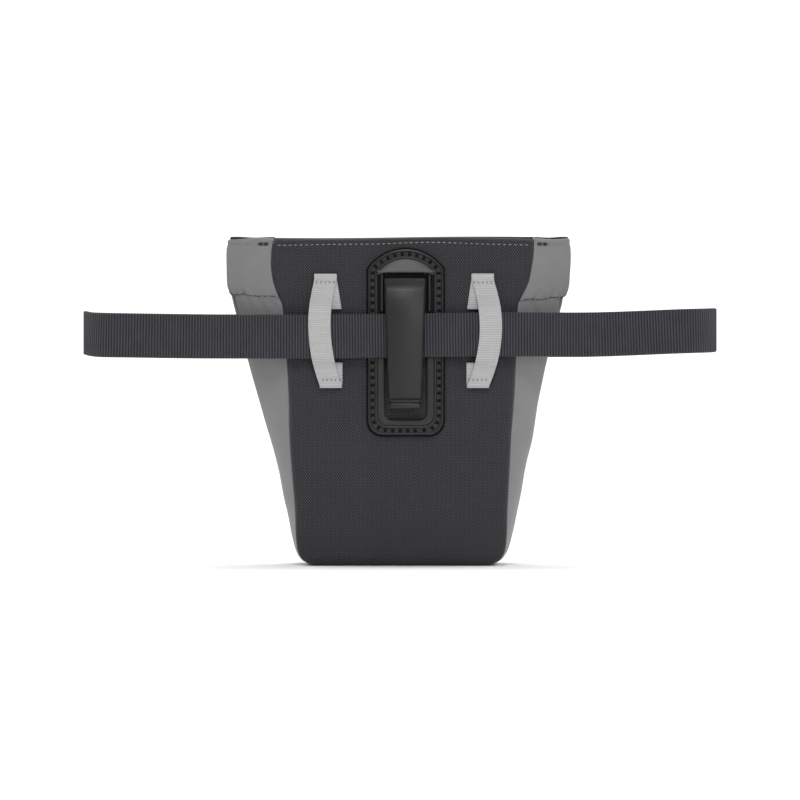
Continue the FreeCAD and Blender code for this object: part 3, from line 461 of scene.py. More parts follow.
class Recipe:
    """A material while its nodes are being joined."""

    def __init__(self, name, **fixed):
        self.material = bpy.data.materials.new(name)
        self.material.use_nodes = True
        self.tree = self.material.node_tree
        self.shader = self.tree.nodes["Principled BSDF"]
        for key, value in fixed.items():
            label = key.replace("_", " ").title().replace("Ior", "IOR")
            self.shader.inputs[label].default_value = value

    def node(self, kind, settings, inputs, output=0):
        made = self.tree.nodes.new(kind)
        for key, value in settings.items():
            setattr(made, key, value)
        for key, value in inputs.items():
            self.join(made.inputs[key], value)
        return Wire(self, made.outputs[output])

    def join(self, socket, value):
        if isinstance(value, Wire):
            self.tree.links.new(value.socket, socket)
        else:
            socket.default_value = value

    def cloth(self):
        """Positions on the flat cloth in millimetres: across, along, and which face."""
        place = self.node("ShaderNodeAttribute", {"attribute_name": "cloth"}, {}, "Vector")
        parts = self.node("ShaderNodeSeparateXYZ", {}, {0: place})
        node = parts.socket.node
        return [Wire(self, node.outputs[k]) for k in range(3)]

    def grain(self, features_per_mm, detail=2.0, stretch=(1, 1, 1)):
        """Noise between 0 and 1 on the piece's own coordinates."""
        place = self.node("ShaderNodeTexCoord", {}, {}, "Object")
        scale = tuple(1000 * k for k in stretch)
        place = self.node("ShaderNodeMapping", {}, {"Vector": place, "Scale": scale})
        return self.node("ShaderNodeTexNoise", {}, {
            "Vector": place, "Scale": features_per_mm, "Detail": detail})

    def blend(self, factor, first, second):
        return self.node("ShaderNodeMix", {"data_type": "RGBA"},
                         {0: factor, 6: first, 7: second}, 2)

    def finish(self, colour, roughness, height, depth_mm):
        """Join the colour, the roughness and the relief to the shader."""
        self.join(self.shader.inputs["Base Color"], colour)
        self.join(self.shader.inputs["Roughness"], roughness)
        relief = self.node("ShaderNodeBump", {}, {
            "Strength": 1.0, "Distance": depth_mm * MM, "Height": height}, "Normal")
        self.join(self.shader.inputs["Normal"], relief)
        return self.material


def tone(grey, tint=(1, 1, 1), gain=1.0):
    """A colour from a display grey between 0 and 255."""
    return tuple((grey / 255) ** 2.2 * k * gain for k in tint) + (1.0,)


def shade(colour, gain):
    return tuple(channel * gain for channel in colour[:3]) + (1.0,)


def plain_weave(across, along, thread, row):
    """Heights of the two threads where each lies on top in a plain weave."""
    a, b = across / thread, along / row
    warp, weft = (a.rest() * math.pi).sine(), (b.rest() * math.pi).sine()
    odd = ((a.floor() + b.floor()) / 2).rest() * 2
    return warp * (0.4 + 0.6 * weft) * (1 - odd), weft * (0.4 + 0.6 * warp) * odd


def woven_nylon(name, colour, thread, sheen):
    mix = Recipe(name, sheen_weight=sheen, sheen_roughness=0.4, specular_ior_level=0.3)
    across, along, _ = mix.cloth()
    wander = mix.grain(0.25) * 0.6
    warp, weft = plain_weave(across + wander, along + wander * 0.7, thread, thread * 1.3)
    patchy = mix.grain(0.07, 3.0)
    glint = mix.grain(0.9, 1.0)
    # Thread crowns are painted lighter and the gaps darker, with glints on the crowns: painted
    # highlight and shade on the weave; patchy adds random tone.
    light = warp * warp * (0.7 + 0.6 * glint) + weft * 0.16 + patchy * 0.14
    cloth = mix.blend(light, shade(colour, 0.1), shade(colour, 6.2))
    return mix.finish(cloth, 0.6 + patchy * 0.2, warp + weft * 0.8 + glint * 0.2, 0.14)


def coated_cloth(name, colour):
    mix = Recipe(name, sheen_weight=0.12, sheen_roughness=0.5, specular_ior_level=0.4)
    across, along, _ = mix.cloth()
    warp, weft = plain_weave(across, along, 0.42, 0.42)
    threads = warp + weft
    mottle = mix.grain(0.12, 4.0)
    fine = mix.grain(1.6, 3.0)
    # Mostly random mottled tone; the thread crowns add a little painted highlight.
    light = mottle * 0.55 + fine * 0.25 + threads * 0.12
    cloth = mix.blend(light, shade(colour, 0.86), shade(colour, 1.14))
    return mix.finish(cloth, 0.5 + fine * 0.22, threads * 0.25 + fine * 0.6 + mottle, 0.09)


def ribbed_tape(name, colour, rib, thread, dark, light):
    """Tape with ribs across it; cloth across runs along the tape."""
    mix = Recipe(name, sheen_weight=0.06, sheen_roughness=0.45, specular_ior_level=0.2)
    run, width, _ = mix.cloth()
    ridge = (run / rib * 2 * math.pi).cosine() * 0.5 + 0.5
    shift = (run / rib + 0.5).floor() * math.pi
    strand = (width / thread * 2 * math.pi + shift).cosine() * 0.5 + 0.5
    fuzz = mix.grain(2.6, 3.0)
    patchy = mix.grain(0.12, 2.0)
    # Rib crowns and raised strands are painted lighter and the grooves darker: painted highlight
    # and shade on the ribs; fuzz and patchy add random tone. dark and light are the gains at the
    # shaded and lit ends.
    shine = ridge * 0.34 + strand * ridge * 0.42 + fuzz * 0.16 + patchy * 0.16
    cloth = mix.blend(shine, shade(colour, dark), shade(colour, light))
    relief = ridge * 0.6 + strand * ridge * 0.6 + fuzz * 0.4
    return mix.finish(cloth, 0.7 + fuzz * 0.15, relief, 0.12)


def moulded_nylon(name, colour, rough=0.4):
    mix = Recipe(name, specular_ior_level=0.42)
    stipple = mix.grain(4.5, 2.0)
    cloud = mix.grain(0.15, 3.0)
    plastic = mix.blend(cloud * 0.7 + stipple * 0.3, shade(colour, 0.88), shade(colour, 1.12))
    return mix.finish(plastic, rough + cloud * 0.16, stipple, 0.035)


def spun_thread(name, colour):
    mix = Recipe(name, sheen_weight=0.3, specular_ior_level=0.3)
    twist = (mix.grain(2.2, 2.0, (1, 1, 1)) * 9.0).sine() * 0.5 + 0.5
    dyed = mix.blend(twist, shade(colour, 0.7), shade(colour, 1.15))
    return mix.finish(dyed, 0.6 + twist * 0.2, twist, 0.06)


def brushed_steel(name):
    mix = Recipe(name, metallic=1.0)
    brushed = mix.grain(1.2, 3.0, (1, 1, 14))
    metal = mix.blend(brushed, (0.42, 0.43, 0.45, 1), (0.62, 0.63, 0.65, 1))
    return mix.finish(metal, 0.28 + brushed * 0.2, brushed, 0.02)


def pale_backdrop(name):
    mix = Recipe(name, specular_ior_level=0.1)
    soft = mix.grain(0.01, 2.0)
    paper = mix.blend(soft, (0.86, 0.86, 0.86, 1), (0.9, 0.9, 0.9, 1))
    return mix.finish(paper, 0.9 + soft * 0.05, soft, 0.05)


MAKERS = {
    "panel nylon": lambda name, c, s: woven_nylon(name, c.panel, s.weave / MM, 0.1),
    "gusset cloth": lambda name, c, s: coated_cloth(name, c.gusset),
    "lining cloth": lambda name, c, s: woven_nylon(name, c.lining, 0.4, 0.1),
    "belt webbing":
        lambda name, c, s: ribbed_tape(name, c.webbing, s.belt_rib / MM, 0.95, 0.1, 2.9),
    "loop grosgrain":
        lambda name, c, s: ribbed_tape(name, c.ribbon, s.loop_rib / MM, 0.55, 0.72, 1.12),
    "band elastic": lambda name, c, s: ribbed_tape(name, c.webbing, 0.9, 0.8, 0.3, 1.0),
    "clip nylon": lambda name, c, s: moulded_nylon(name, c.plastic, 0.34),
    # The tongue's finish is the clip plastic made darker: painted shade on the upright blade, not
    # a darker plastic.
    "tongue nylon": lambda name, c, s: moulded_nylon(name, shade(c.plastic, 0.7), 0.32),
    # The head's finish is the clip plastic made much lighter: painted light where the arched head
    # faces the lamps.
    "clip head nylon": lambda name, c, s: moulded_nylon(name, shade(c.plastic, 3.8), 0.42),
    # A much darker copy of the clip plastic for the tongue's bend: painted shade under the head's
    # overhang.
    "tongue bend": lambda name, c, s: moulded_nylon(name, shade(c.plastic, 0.35), 0.4),
    "buckle nylon": lambda name, c, s: moulded_nylon(name, shade(c.plastic, 0.85), 0.36),
    "dark thread": lambda name, c, s: spun_thread(name, c.dark_thread),
    "grey thread": lambda name, c, s: spun_thread(name, c.grey_thread),
    "light thread": lambda name, c, s: spun_thread(name, c.light_thread),
    # A near-black finish that stands for shade: painted shade in the clip's stitch holes and
    # recess, and a painted shadow round the plate.
    "stitch hole": lambda name, c, s: moulded_nylon(name, tone(8), 0.9),
    "stiffening sheet": lambda name, c, s: moulded_nylon(name, tone(150), 0.5),
    "magnet steel": lambda name, c, s: brushed_steel(name),
    "backdrop": lambda name, c, s: pale_backdrop(name),
}


def finish_of(name):
    """The named material, made the first time that it is asked for."""
    found = bpy.data.materials.get(name)
    if found is None:
        scene = bpy.context.scene
        found = MAKERS[name](name, scene.pouch_finish, scene.pouch_sizes)
    return found


# ------------------------------------------------------------------ pouch cloth

def turned_over(at, top, radius):
    """Height and depth along cloth that runs up to a hem and turns over it."""
    rise = top - radius
    if at <= rise:
        return at, 0.0
    arc = (at - rise) / radius
    if arc <= math.pi:
        return rise + radius * math.sin(arc), radius * (1 - math.cos(arc))
    return rise - (arc - math.pi) * radius, 2 * radius


def turned_length(top, radius, low):
    """Length of cloth that runs up to a hem, turns over it and comes down to low."""
    return 2 * (top - radius) - low + math.pi * radius


def sew_panel(word, wall, inward, body):
    """A panel whose hem turns over inside the mouth; inward is 1 or -1 along the depth."""
    length = turned_length(TOP, HEM_RADIUS, FACING_FOOT)

    def outer(u, v):
        z, depth = turned_over(length * v ** 1.1, TOP, HEM_RADIUS)
        side = (u * 2 - 1) * (1 if depth < HEM_RADIUS else 0.93)
        point = wall(side, z)
        point.y += inward * depth
        return point, (point.x, z)

    bm = cloth_grid(104, 190, outer)
    thicken(bm, PANEL_THICK, (0, inward, 0))
    panel = finish_piece(word + "_panel_cloth", bm, finish_of("panel nylon"), body)
    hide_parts(word + "_panel", word + "_facing")


def sew_lining(word, inner, inward, body):
    """The lining of one panel."""
    bm = cloth_grid(48, 64, inner)
    thicken(bm, LINING_THICK, (0, -inward, 0))
    lining = finish_piece(word + "_lining_cloth", bm, finish_of("lining cloth"), body)
    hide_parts(word + "_lining")


def build_back():
    """The back panel with its hem turned inside the mouth, and the lining behind it."""
    foot = 3.2

    def inner(u, v):
        z = foot + v * (LINING_TOP - foot)
        x = (u * 2 - 1) * (43.4 + 4.4 * v)
        y = BACK + 2.85 + 0.25 * ripple(x, 2.0, z, 21.0)
        return Vector((x, y, z)), (x, z)

    sew_panel("back", back_wall, 1, "pouch")
    sew_lining("back", inner, 1, "pouch")


def build_front():
    """The front panel with its turned hem, full in the middle, and its lining."""
    foot = 4.2

    def inner(u, v):
        z = foot + v * (LINING_TOP - foot)
        point = front_wall((u * 2 - 1) * (0.90 + 0.02 * v), z)
        point.y -= 2.6
        return point, (point.x, z)

    sew_panel("front", front_wall, -1, "front")
    sew_lining("front", inner, -1, "front")


def build_base():
    """The base with its rounded ends, lined inside."""

    def place(u, v):
        across = u * 2 - 1
        y = BACK + 4.2 + v * 36.6
        half = 40.4 - 1.3 * abs(v * 2 - 1) ** 4
        x = across * half
        lift = 0.25 + 1.6 * between(0.9, 1.0, abs(across)) + 0.15 * (1 + ripple(x, y, 1.0, 18.0))
        return Vector((x, y, lift)), (x, y)

    bm = cloth_grid(64, 36, place)
    thicken(bm, 2.85, (0, 0, 1), inner_material=1)
    base = finish_piece("base_cloth", bm, finish_of("panel nylon"), "pouch")
    base.data.materials.append(finish_of("lining cloth"))
    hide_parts("base_panel", "base_lining")


def follow_mouth(piece):
    """Bake a side wall's placement into its mesh; the mouth's lean and reach are worked out but
    not used.
    """
    lean = Vector((0, 1, LEAN)).normalized()
    start = Vector((0, BACK + GUSSET_INSET, TOP))
    reach = (Vector((0, front_plane(TOP) - GUSSET_INSET, TOP)) - start).dot(lean)
    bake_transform(piece)


def build_gussets():
    """The folded side walls, each with its deep turned cuff."""
    for side, word in ((-1, "left"), (1, "right")):

        def wall(u, v, side=side):
            s, z = u * 2 - 1, v ** 1.1 * 128.0
            point = gusset_wall(side, s, z)
            return point, (s * 24.0, z)

        bm = cloth_grid(72, 130, wall)
        thicken(bm, GUSSET_THICK, (-side, 0, 0), inner_material=1)
        gusset = finish_piece(word + "_gusset_cloth", bm, finish_of("gusset cloth"))
        gusset.data.materials.append(finish_of("lining cloth"))
        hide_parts(word + "_gusset", word + "_gusset_lining")
        follow_mouth(gusset)

        foot, rise = CUFF_SEAM + CUFF_LAP, TOP - 1.5 - CUFF_SEAM - CUFF_LAP
        section = [(foot + rise * k / 27, 0.75) for k in range(28)]
        section += [(TOP - 0.8 + 0.8 * math.sin(a), 0.75 - 1.1 * (1 - math.cos(a)))
                    for a in (0.4, 0.8, 1.2, 1.57, 1.95, 2.35, 2.75)]
        section += [(TOP - 1.5 - rise * k / 13, -1.45) for k in range(14)]
        section += [(CUFF_SEAM, -1.1), (CUFF_SEAM - 0.2, -0.2), (CUFF_SEAM - 0.1, 0.45),
                    (CUFF_SEAM + 0.2, 0.8)]
        count = len(section)

        def cuff(u, v, side=side, section=section, count=count):
            s = u * 2 - 1
            z, grow = section[round(v * count) % count]
            low = 1 - between(CUFF_SEAM, CUFF_SEAM + 6, z)
            high = between(TOP - 7, TOP, z)
            if grow > 0:
                grow += low * (0.4 * math.sin(s * 21 + side) + 0.3 * math.sin(s * 37) - 0.1)
            if grow > 0:
                grow -= 0.35 * math.exp(-((z - (TOP - 2.6)) / 0.5) ** 2)
            level = z + low * cuff_wave(side, s)
            level += high * 0.3 * math.sin(s * 5 + side)
            point = gusset_wall(side, s, level, grow)
            return point, (s * 24.0, z)

        bm = cloth_grid(72, count, cuff)
        bmesh.ops.remove_doubles(bm, verts=bm.verts, dist=1e-4)
        close_ends(bm)
        piece = finish_piece(word + "_cuff_cloth", bm, finish_of("gusset cloth"))
        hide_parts(word + "_gusset_cuff")
        follow_mouth(piece)


def build_binding():
    """The dark binding on the front half of the mouth and the thread ends under the cuffs."""
    for side, word in ((-1, "left"), (1, "right")):
        line = [gusset_wall(side, 0.05 + 0.95 * k / 24, TOP + 0.1 + 0.15 * math.sin(k / 3.0), 0.1)
                for k in range(25)]
        bm = strap(spaced(line, 0.4), Vector((0, 0, 1)), rounded_section(0.75, 0.6), 1.2, 0.1)
        edge = finish_piece(word + "_mouth_binding", bm, finish_of("panel nylon"))
        follow_mouth(edge)
        spots = []
        for k in range(15):
            s = -0.97 + k * 0.132 + 0.02 * math.sin(k * 2.7)
            out = Vector((side * 0.4, -1 if s < 0 else 1, 0))
            level = CUFF_SEAM + cuff_wave(side, s) + 0.15 * math.sin(k * 5.0)
            spots.append((gusset_wall(side, s, level, 0.7),
                          Vector((math.sin(k * 3.3), 0.2, 0.5 + math.cos(k * 1.7) * 0.5)), out))
        nubs = stitch_row(word + "_cuff_thread_ends", spots, 1.1, 0.45, finish_of("grey thread"))
        follow_mouth(nubs)
        spots = []
        for k in range(46):
            s = (k - 22.5) / 23.2
            level = CUFF_SEAM - 0.15 + cuff_wave(side, s) + 0.12 * math.sin(k * 2.3)
            ahead = (gusset_wall(side, s + 0.02, level, 0.1)
                     - gusset_wall(side, s - 0.02, level, 0.1))
            out = Vector((side * 0.4, -1 if s < 0 else 1, 0))
            spots.append((gusset_wall(side, s, level, 0.15), ahead.normalized(), out))
        seam = stitch_row(word + "_cuff_seam_thread", spots, 0.95, 0.55, finish_of("dark thread"))
        follow_mouth(seam)


def build_hem_stitching():
    """The thread along the mouth: light on the panels, grey on the cuffs."""
    pitch = bpy.context.scene.pouch_sizes.hem_pitch / MM

    for word, wall, level, out, body in (
            ("back", back_wall, lambda u: hem_line(56 * u), -1, "pouch"),
            ("front", front_wall, lambda u: HEM_STITCH, 1, "front")):
        line = [wall(k / 60 - 1, level(k / 60 - 1)) for k in range(2, 119)]
        spots = [(point + Vector((0, 0.12 * out, 0)), way, Vector((0, out, 0)))
                 for point, way in walk_evenly(line, pitch)]
        stitch_row(word + "_hem_stitching", spots, pitch * 0.7, 0.62, finish_of("light thread"),
                   body)
    for side, word in ((-1, "left"), (1, "right")):
        for half, place in ((-1, "back"), (1, "front")):
            line = [gusset_wall(side, half * (0.93 - 0.83 * k / 20), 146.4, 0.75)
                    for k in range(21)]
            out = Vector((0, half, 0))
            spots = [(point + out * 0.05, way, out) for point, way in walk_evenly(line, pitch)]
            dark = spots[:2]
            row = stitch_row("%s_%s_cuff_stitching" % (word, place), spots[2:], pitch * 0.7, 0.5,
                             finish_of("grey thread"))
            follow_mouth(row)
            row = stitch_row("%s_%s_cuff_tack" % (word, place),
                             [(c + Vector((0, 0, k * 0.5)), w, o) for c, w, o in dark
                              for k in (-1, 0, 1)],
                             pitch, 0.5, finish_of("dark thread"))
            follow_mouth(row)


# ------------------------------------------------------------------ clip

def line_points(start, finish, count):
    return [(start[0] + (finish[0] - start[0]) * k / count,
             start[1] + (finish[1] - start[1]) * k / count) for k in range(count)]


def arc_points(centre, radius, start, finish, count):
    angles = [start + (finish - start) * k / count for k in range(count)]
    return [(centre[0] + radius * math.cos(a), centre[1] + radius * math.sin(a)) for a in angles]


CLIP_HALF = 17.15
ARCH_RADIUS = 20.9
CHANNEL_INSET = 2.05


def plate_outline(inset):
    """The arched plate's outline, counter-clockwise from its lower right corner."""
    half = CLIP_HALF - inset
    foot = CLIP_FOOT + inset
    corner = 6.8 - inset * 0.4
    bend = ARCH_RADIUS - inset
    centre_z = CLIP_TOP - ARCH_RADIUS
    ease = 0.9
    reach = math.asin(min((half - 0.3) / bend, 1.0))
    spring = centre_z + bend * math.cos(reach)
    points = arc_points((CLIP_X + half - corner, foot + corner), corner, -math.pi / 2, 0, 8)
    points += line_points((CLIP_X + half, foot + corner), (CLIP_X + half, spring - ease), 24)
    points += line_points((CLIP_X + half, spring - ease),
                          (CLIP_X + bend * math.sin(reach), spring + 0.1), 3)
    points += arc_points((CLIP_X, centre_z), bend, math.pi / 2 - reach, math.pi / 2 + reach, 40)
    points += line_points((CLIP_X - bend * math.sin(reach), spring + 0.1),
                          (CLIP_X - half, spring - ease), 3)
    points += line_points((CLIP_X - half, spring - ease), (CLIP_X - half, foot + corner), 24)
    points += arc_points((CLIP_X - half + corner, foot + corner), corner,
                         math.pi, math.pi * 1.5, 8)
    points += line_points((CLIP_X - half + corner, foot), (CLIP_X + half - corner, foot), 20)
    return points


def window_outline(grow):
    """The plate's window with rounded lower corners, with as many points as the plate."""
    half, low, high = 9.5 - grow, 66.4 + grow, 122.0 - grow
    corner = 3.2 - grow
    points = arc_points((CLIP_X + half - corner, low + corner), corner, -math.pi / 2, 0, 8)
    points += line_points((CLIP_X + half, low + corner), (CLIP_X + half, high), 27)
    points += line_points((CLIP_X + half, high), (CLIP_X - half, high), 40)
    points += line_points((CLIP_X - half, high), (CLIP_X - half, low + corner), 27)
    points += arc_points((CLIP_X - half + corner, low + corner), corner,
                         math.pi, math.pi * 1.5, 8)
    points += line_points((CLIP_X - half + corner, low), (CLIP_X + half - corner, low), 20)
    return points


def ring_wall(rings):
    """A closed wall through rings of points that all have the same count."""
    count = len(rings[0])
    bm = bmesh.new()
    bmesh.ops.create_grid(bm, x_segments=count, y_segments=len(rings) - 1, size=0.5)
    for vert in bm.verts:
        i = round((vert.co.x + 0.5) * count) % count
        k = round((vert.co.y + 0.5) * (len(rings) - 1))
        vert.co = rings[k][i]
    bmesh.ops.remove_doubles(bm, verts=bm.verts, dist=1e-4)
    return bm


def add_block(bm, low, high, bevel):
    """A softened block between two corners."""
    centre = (Vector(low) + Vector(high)) / 2
    size = Vector(high) - Vector(low)
    place = Matrix.Translation(centre) @ Matrix.Diagonal((*size, 1.0))
    made = bmesh.ops.create_cube(bm, size=1.0, matrix=place)
    edges = list({edge for vert in made["verts"] for edge in vert.link_edges})
    bmesh.ops.bevel(bm, geom=edges, offset=bevel, offset_type="OFFSET", segments=3,
                    profile=0.5, affect="EDGES", clamp_overlap=True, material=-1)


PLATE_PROFILE = [
    (0.0, 0.0), (0.0, 1.6), (0.1, 2.1), (0.32, 2.45), (0.6, 2.6), (0.85, 2.5), (1.0, 2.2),
    (1.1, 1.75), (1.3, 1.6), (2.95, 1.6), (3.12, 1.75), (3.2, 2.2), (3.35, 2.5), (3.6, 2.6),
    (4.0, 2.6), (4.12, 2.45), (4.2, 2.0), (4.35, 2.0), (4.42, 2.3), (4.55, 2.42), (4.8, 2.45),
]
WINDOW_PROFILE = [(-0.7, 2.4), (-0.35, 2.32), (-0.1, 2.1), (0.0, 1.8), (0.0, 0.0)]
RECESS_TOP = 133.3
HEAD_HALF = 12.9
HEAD_RADIUS = 16.55


def build_clip():
    """The moulded clip plate with its raised lip, stitch channel, frame, head and window."""
    rings = [[Vector((x, BACK - rise, z)) for x, z in plate_outline(inset)]
             for inset, rise in PLATE_PROFILE]
    rings += [[Vector((x, BACK - rise, z)) for x, z in window_outline(inset)]
              for inset, rise in WINDOW_PROFILE]
    rings.append(rings[0])
    bm = ring_wall(rings)
    for side in (-1, 1):
        inner, outer = sorted((CLIP_X + side * 10.4, CLIP_X + side * 11.2))
        add_block(bm, (inner, BACK - 4.4, 115.8), (outer, BACK - 1.0, 132.4), 0.25)
    plate = finish_piece("clip_plate_moulded", bm, finish_of("clip nylon"), "pouch")
    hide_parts("clip_plate")
    shading = plate.modifiers.new("even shading", "WEIGHTED_NORMAL")
    shading.keep_sharp = True

    def head(u, v):
        """The arched head that slopes out to an edge over the tongue's root."""
        x = (u * 2 - 1) * HEAD_HALF
        arch = CLIP_TOP - ARCH_RADIUS + math.sqrt(HEAD_RADIUS ** 2 - x * x)
        z = RECESS_TOP + (max(arch, RECESS_TOP + 0.3) - RECESS_TOP) * v
        edge = 1 - between(0, 0.12, v)
        y = BACK - 2.25 - 2.3 * (1 - v) ** 0.8 + 0.5 * edge
        return Vector((CLIP_X + x, y, z)), (x, z)

    # The head takes the lighter finish: painted light on the upward-facing arch, not a paler
    # plastic.
    bm = cloth_grid(40, 24, head)
    thicken(bm, 1.2, (0, 1, 0))
    top = finish_piece("clip_head_moulded", bm, finish_of("clip head nylon"), "pouch")

    # A near-black sheet across the recess round the tongue's root: painted shade under the head.
    def recess(u, v):
        x, z = (u * 2 - 1) * 13.0, 111.0 + 22.8 * v
        return Vector((CLIP_X + x, BACK - 2.47 - 0.05 * math.cos(x), z)), (x, z)

    bm = cloth_grid(12, 12, recess)
    thicken(bm, 0.3, (0, 1, 0))
    floor = finish_piece("clip_recess_painted_shade", bm, finish_of("stitch hole"), "pouch")

    # A thin near-black rim just outside the plate's outline: painted shadow where the plate stands
    # off the panel.
    shadow_rings = [[Vector((x, BACK - rise, z)) for x, z in plate_outline(inset)]
              for inset, rise in ((0.3, 0.1), (-0.7, 0.1), (-0.75, 0.35), (-0.6, 0.5), (0.3, 0.6))]
    shadow_rings.append(shadow_rings[0])
    rim = finish_piece("clip_shadow_rim", ring_wall(shadow_rings), finish_of("stitch hole"), "pouch")

    middle = [Vector((x, BACK - 1.6, z)) for x, z in plate_outline(CHANNEL_INSET)]
    middle.append(middle[0].copy())
    spots = walk_evenly(middle, bpy.context.scene.pouch_sizes.clip_pitch / MM)
    stitches = [(point + Vector((0, -0.16, 0)), way, Vector((0, -1, 0))) for point, way in spots]
    thread = stitch_row("clip_thread", stitches, 2.1, 0.8, finish_of("dark thread"), "pouch")
    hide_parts("clip_stitching")
    # Flattened near-black discs between the stitches: painted shade in the needle holes.
    bm = bmesh.new()
    for first, second in zip(spots, spots[1:] + spots[:1]):
        centre = (first[0] + second[0]) / 2 + Vector((0, 0.03, 0))
        if (first[0] - second[0]).length > 5:
            continue
        turn = Matrix.Rotation(math.pi / 2, 4, "X")
        bmesh.ops.create_uvsphere(bm, u_segments=10, v_segments=6, radius=1.0,
                                  matrix=Matrix.Translation(centre) @ Matrix.Diagonal(
                                      (1.0, 0.3, 1.0, 1.0)) @ turn)
    holes = finish_piece("clip_stitch_hole_shade", bm, finish_of("stitch hole"), "pouch")


# The tongue from its root down: height, face beyond the panel, thickness, half width.
TONGUE_SHAPE = [
    (130.6, 4.6, 2.2, 9.7), (130.4, 5.0, 2.8, 9.8), (129.4, 4.9, 3.0, 9.85),
    (127.6, 4.8, 3.0, 9.8), (126.9, 4.95, 3.0, 9.7), (126.4, 5.4, 3.1, 9.6),
    (126.1, 5.75, 3.2, 9.5), (125.7, 5.95, 3.1, 9.45), (124.0, 6.5, 2.9, 9.4),
    (121.0, 7.3, 2.7, 9.3), (117.0, 8.0, 2.6, 9.1), (112.0, 8.45, 2.6, 8.9),
    (105.0, 8.7, 2.6, 8.6), (98.0, 8.75, 2.6, 8.35), (88.0, 8.6, 2.4, 7.95),
    (80.0, 8.35, 2.4, 7.65), (78.2, 8.3, 2.7, 7.6), (76.9, 8.25, 3.6, 7.55),
    (76.5, 8.2, 4.0, 7.52), (76.1, 7.8, 3.9, 7.5), (75.4, 7.2, 3.6, 7.46),
    (74.5, 7.2, 3.4, 7.42), (74.2, 7.9, 3.6, 7.4), (73.9, 8.5, 3.6, 7.4),
    (73.5, 8.72, 3.3, 7.4), (72.6, 8.8, 2.4, 7.36), (71.9, 8.7, 1.9, 7.3),
    (71.5, 8.4, 1.3, 7.2), (71.4, 8.1, 0.8, 7.1),
]
TONGUE_EDGE = 0.425


def build_tongue():
    """The sprung tongue that holds the pouch on a belt, with its bend and its lip."""
    table = [(-z, face, thick, half) for z, face, thick, half in TONGUE_SHAPE]
    start, finish = table[0][0], table[-1][0]
    levels = sorted({-row[0] for row in table}
                    | {-start - (finish - start) * k / 90 for k in range(91)}, reverse=True)
    rings = []
    for z in levels:
        face, thick, half = (along_table(table, -z, column) for column in (1, 2, 3))
        ring = []
        for a, b in rounded_section(half, thick / 2, 6):
            edge = between(half - 1.6, half, abs(a))
            ring.append(Vector((CLIP_X - 0.3 + a, BACK - face + thick / 2 - b
                                + edge * edge * TONGUE_EDGE * (1 if b > 0 else 0), z)))
        rings.append(ring)
    bm = ring_wall(rings)
    close_ends(bm)
    # Faces above the blade's top edge take the darker finish: painted shade on the bend under the
    # head.
    for face in bm.faces:
        face.material_index = 1 if face.calc_center_median().z > 126.9 else 0
    tongue = finish_piece("clip_tongue_moulded", bm, finish_of("tongue nylon"), "tongue")
    tongue.data.materials.append(finish_of("tongue bend"))
    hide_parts("clip_tongue")


# ------------------------------------------------------------------ loops and belt

LOOPS = {
    # word: centre of the strap at its top, middle and bottom, and the shift of its turned ends
    "left": (-33.9, -36.4, -31.2, 2.3),
    "right": (37.6, 41.1, 35.2, -2.1),
}
STRAP_FACE = BACK - 2.0
OVER_BELT = BELT_BACK - 1.9


def build_loops():
    """The grosgrain belt loops with their turned and stitched ends."""
    sizes = bpy.context.scene.pouch_sizes
    for word, (top_x, middle_x, foot_x, shift) in LOOPS.items():

        def centre(z):
            high = (z - BELT_Z) / 27.0
            bow = (top_x + foot_x) / 2 - middle_x
            flat = max(-1.0, min(1.0, high * 1.12))
            return middle_x + bow * flat * flat + (top_x - foot_x) / 2 * flat

        def out(z):
            away = abs(z - BELT_Z)
            return STRAP_FACE - (STRAP_FACE - OVER_BELT) * (1 - between(10.2, 16.8, away))

        foot, top = 82.0, 131.8
        inward = 0.2 if shift > 0 else -0.2
        line = [Vector((centre(foot) + inward, BACK - 0.66, z)) for z in (92.4, 89.5, 86.0, 83.4)]
        line += [Vector((centre(foot), BACK - 0.8, foot)),
                 Vector((centre(foot), BACK - 1.35, foot - 0.55)),
                 Vector((centre(foot), STRAP_FACE, foot))]
        steps = 22
        line += [Vector((centre(z), out(z), z)) for z in
                 (foot + 1.4 + (top - foot - 2.8) * k / steps for k in range(steps + 1))]
        line += [Vector((centre(top), STRAP_FACE, top)),
                 Vector((centre(top), BACK - 1.35, top + 0.55)),
                 Vector((centre(top) + inward, BACK - 0.8, top))]
        line += [Vector((centre(top) + shift * (131.5 - z) / 15.0, BACK - 0.66, z)) for z in
                 (130.4, 127.0, 123.0, 119.5, 116.6)]
        line = spaced(through(line, 8), sizes.loop_rib / MM / 5)
        bm = strap(line, Vector((1, 0, 0)), rounded_section(5.1, 0.58), sizes.loop_rib / MM, 0.07,
                   sheared=True)
        loop = finish_piece(word + "_loop_ribbon", bm, finish_of("loop grosgrain"), "pouch")
        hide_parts(word + "_loop")
    spots = []
    for top_x, middle_x, foot_x, shift in LOOPS.values():
        for middle, level in ((top_x, 128.9), (foot_x, 84.6)):
            for k in range(5):
                spots.append((Vector((middle + (k - 2) * 1.95, STRAP_FACE - 0.62, level)),
                              Vector((0.25, 0, 1)), Vector((0, -1, 0))))
    thread = stitch_row("loop_tacks", spots, 1.5, 0.7, finish_of("grey thread"), "pouch")
    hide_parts("loop_stitching")


BAR_TURN = 2.25
TAIL_GAP = 1.95


